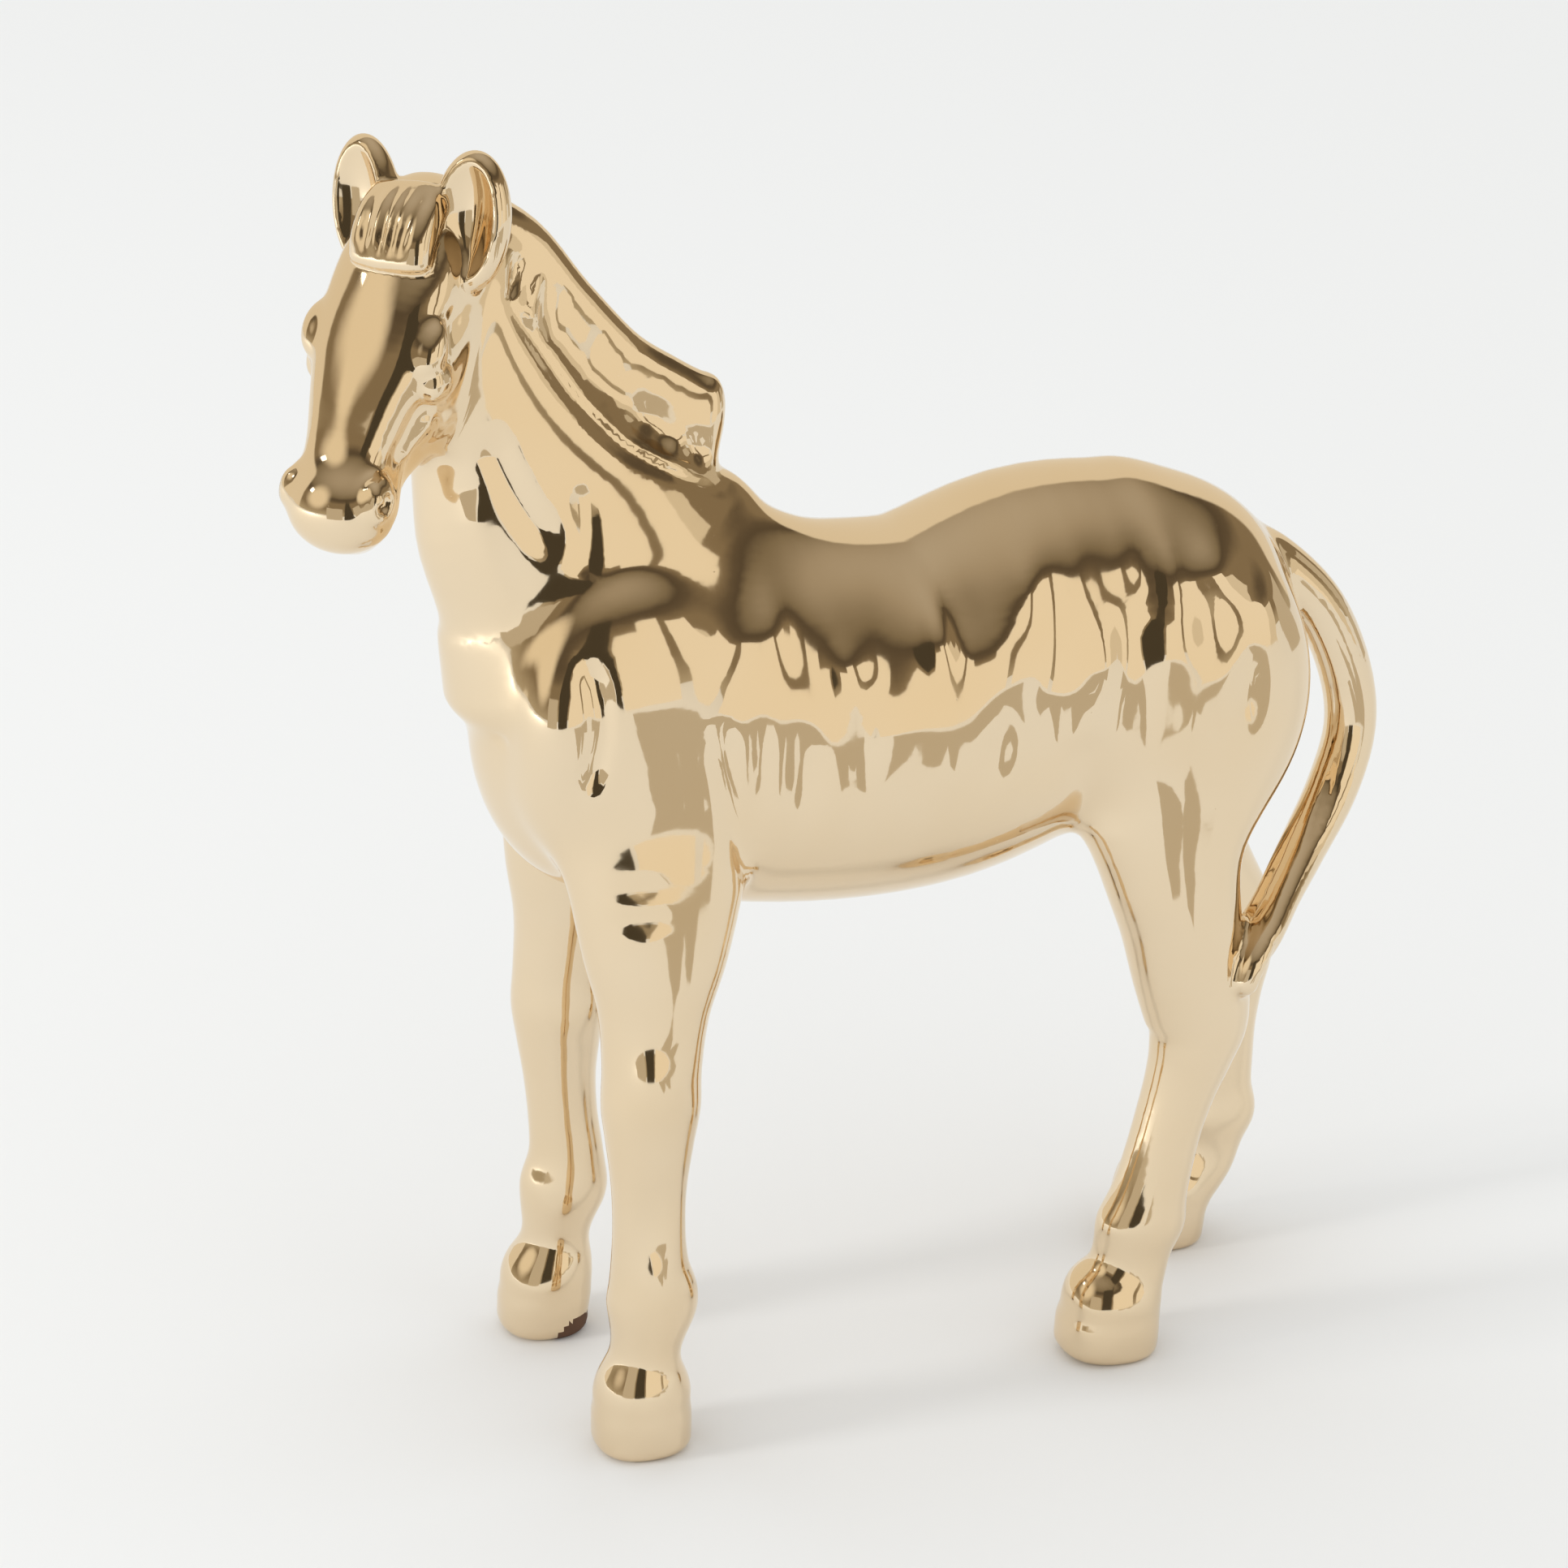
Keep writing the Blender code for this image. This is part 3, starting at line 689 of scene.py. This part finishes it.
def shoulder_marks(side):
    """The point of the shoulder and the fold behind it, and the creases of the neck and throat."""
    return [
        Press((-60.5, 26 * side, 173), (6.2, 8, 12), 3.4),
        Crease([(-53, 28 * side, 189), (-51.5, 31.5 * side, 174), (-54.5, 31 * side, 158)], 2.4, 2.2),
        Crease([(-70, 12.5 * side, 236), (-64.5, 16 * side, 221), (-56, 19 * side, 207)], 3.4, 1.5),
        Crease([(-50.5, 17.5 * side, 223), (-50, 19.5 * side, 213), (-51.5, 21.5 * side, 203)], 2.4, 1.4),
        Crease([(-74, 11 * side, 222), (-71, 15 * side, 206), (-67, 18 * side, 192)], 3.6, -0.9),
        Press((-68.6, 14.4 * side, 166.9), (1.1, 2, 1.1), -1.0),
    ]


def limb_marks(side):
    """Folds behind the elbow and before the stifle, and the forearm, knee, shin and fetlock."""
    return [
        Crease([(-26, 31.5 * side, 172), (-22, 31.5 * side, 152), (-18, 29 * side, 132)], 3.4, 1.5),
        Crease([(58, 33 * side, 158), (62, 31 * side, 144), (66, 27 * side, 130)], 5.0, 1.3),
        Press((-44.5, 36 * side, 137), (5, 4, 2.6), -0.8),
        Press((-44.5, 36.5 * side, 130.5), (5, 4, 2.6), -0.8),
        Press((-43, 38.5 * side, 92), (5.5, 4, 7), 2.7),
        Press((-43, 38 * side, 61), (4.2, 4, 8), -1.8),
        Press((-43, 38 * side, 43), (4.4, 5, 7), 1.3),
    ]


def flank_waves(side, clay):
    """The soft waves of hand-worked clay, each one's place, height and reach left to chance."""
    marks = []
    for level in WAVE_LEVELS:
        for place in WAVE_PLACES:
            drift, rise, height, breadth = clay.uniform((-4, -6, 0.5, 3.0), (4, 6, 1.15, 6.0))
            height *= WAVE_HEIGHT * clay.choice((-1, 1))
            spot = (place + drift, 29 * side, level + rise)
            marks.append(Press(spot, (breadth, 9, clay.uniform(7, 14)), height))
    return marks


def ring_crease(x, y, half_length, half_width, level, width, depth):
    """A crease all the way round a leg."""
    ring = []
    for turn in np.linspace(0.0, 2.0 * np.pi, RING_PLACES):
        ring.append((x + half_length * np.cos(turn), y + half_width * np.sin(turn), level))
    return Crease(ring, width, depth, closed=True)


def all_marks():
    clay = np.random.default_rng(WAVE_SEED)
    marks = face_marks() + forelock_marks() + mane_marks(-1) + mane_marks(1) + tail_marks()
    for side in (-1, 1):
        marks += shoulder_marks(side) + limb_marks(side) + flank_waves(side, clay)
    for x, y, reach in PASTERNS:
        marks.append(ring_crease(x, y, reach, reach, PASTERN_LEVEL, 6.0, 1.5))
    for x, y, _, half_length, half_width in HOOVES:
        marks.append(ring_crease(x, y, half_length, half_width, RIM_LEVEL, 1.6, 0.25))
    return marks


def figure():
    return trunk() + legs() + head() + [ear(-1), ear(1)] + hair()


def near(item, points):
    return np.all((points > item.low) & (points < item.high), axis=1)


def field(masses, marks, points):
    """Distance to the figure's surface, below zero inside the clay."""
    value = np.full(len(points), FAR)
    for mass in masses:
        close = near(mass, points)
        if close.any():
            gap = mass.distance(points[close])
            if mass.cut:
                value[close] = -blend_union(-value[close], gap, mass.blend)
            else:
                value[close] = blend_union(value[close], gap, mass.blend)
    for mark in marks:
        close = near(mark, points)
        if close.any():
            value[close] -= mark.lift(points[close])
    return value


def slope(masses, marks, points):
    """The field's value and gradient, from four probes at a tetrahedron's corners."""
    corners = np.array(((1, 1, 1), (1, -1, -1), (-1, 1, -1), (-1, -1, 1)), float)
    values = [field(masses, marks, points + GRADIENT_STEP * corner) for corner in corners]
    gradient = sum(value[:, None] * corner for value, corner in zip(values, corners))
    return sum(values) / 4.0, gradient / (4.0 * GRADIENT_STEP)


def draw_on(masses, marks, points, rounds):
    """Moves points along the gradient onto the figure's surface."""
    for _ in range(rounds):
        value, gradient = slope(masses, marks, points)
        steep = np.maximum((gradient**2).sum(1), LEAST_STEEPNESS)
        step = np.clip(value / steep, -LONGEST_STEP, LONGEST_STEP)
        points = points - step[:, None] * gradient
    return points


def modified(mesh, kind, **settings):
    """The mesh as one modifier of the given kind and settings leaves it."""
    holder = bpy.data.objects.new("holder", mesh)
    bpy.context.collection.objects.link(holder)
    modifier = holder.modifiers.new(kind, kind)
    for name, value in settings.items():
        setattr(modifier, name, value)
    graph = bpy.context.evaluated_depsgraph_get()
    changed = bpy.data.meshes.new_from_object(holder.evaluated_get(graph))
    bpy.data.objects.remove(holder)
    bpy.data.meshes.remove(mesh)
    return changed


def relax(mesh, points, share):
    """Evens out the skin: each point moves part of the way to its neighbours' mean."""
    edges = np.empty(len(mesh.edges) * 2, np.int32)
    mesh.edges.foreach_get("vertices", edges)
    first, second = edges.reshape(-1, 2).T
    total = np.zeros_like(points)
    np.add.at(total, first, points[second])
    np.add.at(total, second, points[first])
    count = np.bincount(edges, minlength=len(points))[:, None]
    return points + share * (total / np.maximum(count, 1) - points)


def coordinates(mesh):
    points = np.empty(len(mesh.vertices) * 3)
    mesh.vertices.foreach_get("co", points)
    return points.reshape(-1, 3)


def settle(mesh, masses, marks, rounds):
    """Draws the skin onto the figure, then evens it out along the surface."""
    points = draw_on(masses, marks, coordinates(mesh), rounds)
    for _ in range(EVENINGS):
        points = draw_on(masses, marks, relax(mesh, points, EVENING_SHARE), 1)
    mesh.vertices.foreach_set("co", points.ravel())
    mesh.update()


def blank_skin():
    """A merged copy of the frame's solid, in figure units."""
    node = bpy.data.objects["horse"]
    shape = bmesh.new()
    shape.from_mesh(node.data)
    bmesh.ops.remove_doubles(shape, verts=shape.verts[:], dist=MERGE_REACH)
    mesh = bpy.data.meshes.new("blank")
    shape.to_mesh(mesh)
    shape.free()
    share = (coordinates(mesh) - FRAME_LOW) / (FRAME_HIGH - FRAME_LOW)
    mesh.vertices.foreach_set("co", (FIGURE_LOW + share * (FIGURE_HIGH - FIGURE_LOW)).ravel())
    mesh.materials.clear()
    return mesh


def finer_head(mesh):
    """Halves the spacing of the skin over the head and the ears."""
    shape = bmesh.new()
    shape.from_mesh(mesh)
    head_edges = []
    for edge in shape.edges:
        middle = (edge.verts[0].co + edge.verts[1].co) / 2.0
        if middle.x < HEAD_BEHIND and middle.z > HEAD_BELOW:
            head_edges.append(edge)
    bmesh.ops.subdivide_edges(shape, edges=head_edges, cuts=1, use_grid_fill=True)
    shape.to_mesh(mesh)
    shape.free()


def is_sole(face):
    level = all(abs(vert.co.z - GROUND) < SOLE_REACH for vert in face.verts)
    return level and face.normal.z < FACES_DOWN


def flat_soles(mesh):
    """Cuts the skin off level at the ground, leaves the soles as bare clay, and paints shade in the clay
    colour on a patch at the foot of the right fore hoof's rim.
    """
    shape = bmesh.new()
    shape.from_mesh(mesh)
    geometry = shape.verts[:] + shape.edges[:] + shape.faces[:]
    cut = bmesh.ops.bisect_plane(
        shape, geom=geometry, dist=CUT_REACH, plane_co=(0, 0, GROUND), plane_no=(0, 0, -1), clear_outer=True
    )
    rim = [item for item in cut["geom_cut"] if isinstance(item, bmesh.types.BMEdge)]
    bmesh.ops.contextual_create(shape, geom=rim)
    bmesh.ops.triangulate(shape, faces=shape.faces[:])
    bmesh.ops.recalc_face_normals(shape, faces=shape.faces[:])
    for face in shape.faces:
        sole = is_sole(face)
        # painted shade: faces near the foot of the right fore hoof, on its side away from the key light,
        # take the dark clay
        shade_patch = (SHADE_PATCH_CENTRE - face.calc_center_median()).length < SHADE_PATCH_REACH
        face.smooth = not sole
        face.material_index = int(sole or shade_patch)
    shape.to_mesh(mesh)
    shape.free()


def dressed_skin(pitch):
    """The foal's fine skin, set into the frame's box."""
    masses, marks = figure(), all_marks()
    skin = modified(blank_skin(), "REMESH", mode="VOXEL", voxel_size=pitch)
    settle(skin, masses, marks, FIRST_ROUNDS)
    finer_head(skin)
    settle(skin, masses, marks, LAST_ROUNDS)
    flat_soles(skin)
    points = coordinates(skin)
    low, high = points.min(0), points.max(0)
    points = FRAME_LOW + (points - low) / (high - low) * (FRAME_HIGH - FRAME_LOW)
    skin.vertices.foreach_set("co", points.ravel())
    skin.update()
    return skin


def linear(code):
    """Linear colour of an sRGB hex value."""
    shades = [int(code[i : i + 2], 16) / 255.0 for i in (0, 2, 4)]
    tuned = [s / 12.92 if s <= 0.04045 else ((s + 0.055) / 1.055) ** 2.4 for s in shades]
    return (*tuned, 1.0)


def add_node(tree, kind, links=(), inputs=(), **settings):
    """Adds a node with its settings, its inputs' plain values and the sockets that feed it."""
    node = tree.nodes.new(kind)
    for name, value in settings.items():
        setattr(node, name, value)
    for name, value in dict(inputs).items():
        node.inputs[name].default_value = value
    for name, source in dict(links).items():
        tree.links.new(source, node.inputs[name])
    return node


def new_material(name):
    material = bpy.data.materials.new(name)
    material.use_nodes = True
    tree = material.node_tree
    return material, tree, tree.nodes["Principled BSDF"]


def lustre_glaze(finish):
    """Gold lustre fired over a white glaze: a thin mirror of metal on glass.

    It gives the eye sharp reflections with a slow orange peel, warmer where the lustre lies
    thick, and a scatter of pinholes and specks from the kiln.
    """
    material, tree, shader = new_material("gold lustre over glaze")
    place = add_node(tree, "ShaderNodeTexCoord").outputs["Object"]
    clouds = add_node(
        tree, "ShaderNodeTexNoise", {"Vector": place}, {"Scale": 1 / finish.cloud_size, "Detail": 2.0}
    )
    tint = add_node(
        tree,
        "ShaderNodeMix",
        {"Factor": clouds.outputs["Fac"]},
        {"A": finish.colour, "B": finish.warm_colour},
        data_type="RGBA",
    )
    gloss = {"From Min": CLOUD_LOW, "From Max": CLOUD_HIGH}
    gloss["To Min"] = finish.roughness * (1.0 - GLOSS_DRIFT)
    gloss["To Max"] = finish.roughness * (1.0 + GLOSS_DRIFT)
    dull = add_node(tree, "ShaderNodeMapRange", {"Value": clouds.outputs["Fac"]}, gloss)
    peel = add_node(
        tree, "ShaderNodeTexNoise", {"Vector": place}, {"Scale": 1 / finish.peel_size, "Detail": 1.0}
    )
    holes = add_node(tree, "ShaderNodeTexVoronoi", {"Vector": place}, {"Scale": 1 / finish.pinhole_spacing})
    pits = add_node(
        tree,
        "ShaderNodeMapRange",
        {"Value": holes.outputs["Distance"]},
        {"From Min": 0.0, "From Max": PINHOLE_SHARE, "To Min": -1.0, "To Max": 0.0},
    )
    relief = add_node(
        tree, "ShaderNodeMath", {0: pits.outputs["Result"], 1: peel.outputs["Fac"]}, operation="ADD"
    )
    bump = add_node(
        tree,
        "ShaderNodeBump",
        {"Height": relief.outputs["Value"]},
        {"Strength": PEEL_STRENGTH, "Distance": PEEL_HEIGHT},
    )
    shader.inputs["Metallic"].default_value = 1.0
    tree.links.new(tint.outputs["Result"], shader.inputs["Base Color"])
    tree.links.new(dull.outputs["Result"], shader.inputs["Roughness"])
    tree.links.new(bump.outputs["Normal"], shader.inputs["Normal"])
    return material


def clay_and_painted_shade(colour):
    """Unglazed fired earthenware: matt and fine, with a few darker stains from the kiln shelf. Its dark
    colour also paints the shade at the foot of the right fore hoof.
    """
    material, tree, shader = new_material("unglazed clay and painted shade")
    place = add_node(tree, "ShaderNodeTexCoord").outputs["Object"]
    stain = add_node(
        tree, "ShaderNodeTexNoise", {"Vector": place}, {"Scale": 1 / STAIN_SIZE, "Detail": 4.0}
    )
    dark = tuple(STAIN_SHADE * part for part in colour[:3]) + (1.0,)
    shade = add_node(
        tree,
        "ShaderNodeMix",
        {"Factor": stain.outputs["Fac"]},
        {"A": colour, "B": dark},
        data_type="RGBA",
    )
    tree.links.new(shade.outputs["Result"], shader.inputs["Base Color"])
    shader.inputs["Roughness"].default_value = 0.85
    return material


def studio_paper(colour):
    """Matt card-weight studio paper: an even pale ground with soft shadows and no shine."""
    material, _, shader = new_material("matt studio paper")
    shader.inputs["Base Color"].default_value = colour
    shader.inputs["Roughness"].default_value = 0.9
    shader.inputs["Specular IOR Level"].default_value = 0.1
    return material


def glow(name):
    """A card of light cloth or paper, evenly bright, which the glaze mirrors as a flat patch."""
    colour, strength = GLOWS[name]
    material = bpy.data.materials.new(name)
    material.use_nodes = True
    tree = material.node_tree
    tree.nodes.clear()
    light = add_node(tree, "ShaderNodeEmission", (), {"Color": linear(colour), "Strength": strength})
    add_node(tree, "ShaderNodeOutputMaterial", {"Surface": light.outputs["Emission"]})
    return material


def placed(name, mesh, *materials):
    """A new object of the mesh at the origin, with its materials."""
    piece = bpy.data.objects.new(name, mesh)
    bpy.context.collection.objects.link(piece)
    for material in materials:
        mesh.materials.append(material)
    return piece


def to_frame(point):
    """A place in figure units, in the frame's metres."""
    share = (np.array(point, float) - FIGURE_LOW) / (FIGURE_HIGH - FIGURE_LOW)
    return FRAME_LOW + share * (FRAME_HIGH - FRAME_LOW)


def heading(turn, distance, height):
    """A place around the foal: turn in degrees from its left side towards its tail."""
    angle = np.radians(turn)
    return (distance * np.sin(angle), -distance * np.cos(angle), height)


def flat_sheet(name, corners, material):
    mesh = bpy.data.meshes.new(name)
    mesh.from_pydata([tuple(corner) for corner in corners], [], [tuple(range(len(corners)))])
    sheet = placed(name, mesh, material)
    return sheet


def card(name, corners, material):
    """A flat card through the given corners, seen only in reflections."""
    piece = flat_sheet(name, corners, material)
    piece.visible_camera = piece.visible_diffuse = piece.visible_shadow = False


def upright(start, stop, distance, foot, top):
    """Corners of an upright board between two headings."""
    corners = [heading(start, distance, foot), heading(stop, distance, foot)]
    return corners + [heading(stop, distance, top), heading(start, distance, top)]


def boards():
    """The boards, the bright sheet and the shaded floor that the glaze mirrors."""
    cards = {name: glow(name) for name in GLOWS}
    for start, stop, distance, height, name in BOARDS:
        card(f"board_{start}", upright(start, stop, distance, 0.0, height), cards[name])
    card("window_sheet", upright(*SHEET), cards["window sheet"])
    corners = [heading(turn, distance, SHADED_RISE) for turn, distance in SHADED_EDGE + SHADED_BACK]
    card("shaded_floor", corners, cards["tan board"])


def mirrored_room(tree):
    """The room's colour in each direction: dim bands, a pale wall and a softly glowing window."""
    way = add_node(tree, "ShaderNodeTexCoord").outputs["Generated"]
    parts = add_node(tree, "ShaderNodeSeparateXYZ", {"Vector": way})
    ramp = add_node(tree, "ShaderNodeValToRGB", {"Fac": parts.outputs["Z"]})
    steps = ramp.color_ramp.elements
    while len(steps) < len(ROOM_BANDS):
        steps.new(0.5)
    for step, (place, code) in zip(steps, ROOM_BANDS):
        step.position, step.color = place, linear(code)
    wall = add_node(
        tree,
        "ShaderNodeMapRange",
        {"Value": parts.outputs["Y"]},
        {"From Min": WALL_STARTS, "From Max": WALL_FULL, "To Min": 0.0, "To Max": 1.0},
    )
    walled = add_node(
        tree,
        "ShaderNodeMix",
        {"Factor": wall.outputs["Result"], "A": ramp.outputs["Color"]},
        {"B": linear(WALL_COLOUR)},
        data_type="RGBA",
    )
    along = add_node(
        tree, "ShaderNodeVectorMath", {0: way}, {1: WINDOW_WAY}, operation="DOT_PRODUCT"
    )
    window = add_node(
        tree,
        "ShaderNodeMapRange",
        {"Value": along.outputs["Value"]},
        {"From Min": WINDOW_STARTS, "From Max": WINDOW_FULL, "To Min": 0.0, "To Max": 1.0},
        interpolation_type="SMOOTHSTEP",
    )
    lit = add_node(
        tree,
        "ShaderNodeMix",
        {"Factor": window.outputs["Result"], "A": walled.outputs["Result"]},
        {"B": linear(WINDOW_COLOUR)},
        data_type="RGBA",
    )
    return lit.outputs["Result"]


def studio_world(scene):
    """The pale tent that lights the foal and the floor, and the room that the glaze mirrors."""
    world = bpy.data.worlds.new("studio")
    scene.world = world
    scene.view_settings.view_transform = "Standard"
    world.use_nodes = True
    tree = world.node_tree
    tree.nodes.clear()
    tent = add_node(
        tree, "ShaderNodeBackground", (), {"Color": linear(TENT_COLOUR), "Strength": TENT_STRENGTH}
    )
    room = add_node(tree, "ShaderNodeBackground", {"Color": mirrored_room(tree)}, {"Strength": 1.0})
    rays = add_node(tree, "ShaderNodeLightPath")
    chosen = add_node(
        tree,
        "ShaderNodeMixShader",
        {"Fac": rays.outputs["Is Glossy Ray"], 1: tent.outputs["Background"], 2: room.outputs["Background"]},
    )
    add_node(tree, "ShaderNodeOutputWorld", {"Surface": chosen.outputs["Shader"]})


def key_light(power):
    """A soft window on the foal's left front, which casts its shadows to the right."""
    light = bpy.data.lights.new("window", "AREA")
    light.shape = "RECTANGLE"
    light.size, light.size_y = KEY_SIZE
    light.energy = power
    lamp = bpy.data.objects.new("window", light)
    bpy.context.collection.objects.link(lamp)
    lamp.visible_glossy = False
    lamp.location = heading(*KEY_PLACE)
    lamp.rotation_euler = (KEY_AIM - lamp.location).to_track_quat("-Z", "Y").to_euler()


def camera(scene):
    """The photograph's viewing angle and distance."""
    level = np.cos(CAMERA_RISE)
    back = np.array((np.sin(CAMERA_TURN) * level, -np.cos(CAMERA_TURN) * level, np.sin(CAMERA_RISE)))
    lens = bpy.data.cameras.new("camera")
    lens.sensor_width = SENSOR_WIDTH
    lens.lens = SENSOR_WIDTH * FOCAL_PIXELS / PHOTO_PIXELS
    viewer = bpy.data.objects.new("camera", lens)
    bpy.context.collection.objects.link(viewer)
    viewer.location = to_frame(CAMERA_TARGET) + back * CAMERA_DISTANCE * UNIT
    viewer.rotation_euler = Vector(-back).to_track_quat("-Z", "Y").to_euler()
    scene.camera = viewer


class FoalSettings(bpy.types.PropertyGroup):
    """The foal's skin and finish"""

    pitch: bpy.props.FloatProperty(
        name="Skin pitch",
        description="Spacing of the fine skin's points",
        default=0.0014,
        min=0.0005,
        unit="LENGTH",
    )
    colour: bpy.props.FloatVectorProperty(
        name="Lustre colour",
        description="Colour where the lustre lies thin",
        default=linear("EEDCC0"),
        size=4,
        min=0.0,
        max=1.0,
        subtype="COLOR",
    )
    warm_colour: bpy.props.FloatVectorProperty(
        name="Thick lustre colour",
        description="Colour where the lustre lies thick",
        default=linear("EBD4B0"),
        size=4,
        min=0.0,
        max=1.0,
        subtype="COLOR",
    )
    # the clay colour is also used as painted shade at the foot of the right fore hoof
    clay_and_shade_colour: bpy.props.FloatVectorProperty(
        name="Clay colour",
        description="Colour of the unglazed clay",
        default=linear("6B4A33"),
        size=4,
        min=0.0,
        max=1.0,
        subtype="COLOR",
    )
    roughness: bpy.props.FloatProperty(
        name="Roughness",
        description="Mean roughness of the lustre",
        default=0.06,
        min=0.0,
        max=1.0,
        subtype="FACTOR",
    )
    cloud_size: bpy.props.FloatProperty(
        name="Cloud size",
        description="Spacing of the slow clouds where the lustre lies thick",
        default=0.035,
        min=0.001,
        unit="LENGTH",
    )
    peel_size: bpy.props.FloatProperty(
        name="Orange peel",
        description="Spacing of the glaze's orange peel",
        default=0.0035,
        min=0.0005,
        unit="LENGTH",
    )
    pinhole_spacing: bpy.props.FloatProperty(
        name="Pinhole spacing",
        description="Spacing of the glaze's pinholes",
        default=0.006,
        min=0.0005,
        unit="LENGTH",
    )


class StudioSettings(bpy.types.PropertyGroup):
    """Floor and light"""

    floor_size: bpy.props.FloatProperty(
        name="Floor size",
        description="Side of the square floor",
        default=9.0,
        min=1.0,
        unit="LENGTH",
    )
    floor_colour: bpy.props.FloatVectorProperty(
        name="Floor colour",
        description="Colour of the studio paper",
        default=linear("EEEEED"),
        size=4,
        min=0.0,
        max=1.0,
        subtype="COLOR",
    )
    key_power: bpy.props.FloatProperty(
        name="Key light",
        description="Power of the soft window on the foal's left front",
        default=26.0,
        min=0.0,
        unit="POWER",
    )


class FOAL_OT_body(bpy.types.Operator):
    """Models the one-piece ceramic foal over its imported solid"""

    bl_idname = "foal.body"
    bl_label = "Ceramic foal"

    def execute(self, context):
        finish = context.scene.foal
        skin = dressed_skin(finish.pitch / UNIT)
        skin.name = "ceramic_foal"
        # the second material is both the bare soles and the painted shade at the right fore hoof's foot
        foal = placed("ceramic_foal", skin, lustre_glaze(finish), clay_and_painted_shade(finish.clay_and_shade_colour))
        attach(foal, "root")
        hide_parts("horse")
        return {"FINISHED"}


class FOAL_OT_studio(bpy.types.Operator):
    """Sets the pale floor, the soft light and the camera"""

    bl_idname = "foal.studio"
    bl_label = "Studio"

    def execute(self, context):
        settings = context.scene.foal_studio
        half = settings.floor_size / 2.0
        corners = [(-half, -half, 0.0), (half, -half, 0.0), (half, half, 0.0), (-half, half, 0.0)]
        flat_sheet("floor", corners, studio_paper(settings.floor_colour))
        studio_world(context.scene)
        boards()
        key_light(settings.key_power)
        camera(context.scene)
        return {"FINISHED"}


class FOAL_PT_panel(bpy.types.Panel):
    """Lists the steps that make the foal"""

    bl_idname = "FOAL_PT_panel"
    bl_label = "Lustre Foal"
    bl_space_type = "VIEW_3D"
    bl_region_type = "UI"
    bl_category = "Lustre Foal"

    def draw(self, context):
        layout = self.layout
        steps = (
            (context.scene.foal, FoalSettings, FOAL_OT_body),
            (context.scene.foal_studio, StudioSettings, FOAL_OT_studio),
        )
        for settings, group, operator in steps:
            for name in group.__annotations__:
                layout.prop(settings, name)
            layout.operator(operator.bl_idname)


CLASSES = (FoalSettings, StudioSettings, FOAL_OT_body, FOAL_OT_studio, FOAL_PT_panel)


def register():
    for item in CLASSES:
        bpy.utils.register_class(item)
    bpy.types.Scene.foal = bpy.props.PointerProperty(type=FoalSettings)
    bpy.types.Scene.foal_studio = bpy.props.PointerProperty(type=StudioSettings)


def unregister():
    del bpy.types.Scene.foal_studio
    del bpy.types.Scene.foal
    for item in reversed(CLASSES):
        bpy.utils.unregister_class(item)


def main():
    register()
    bpy.ops.foal.body()
    bpy.ops.foal.studio()


if __name__ == "__main__":
    main()
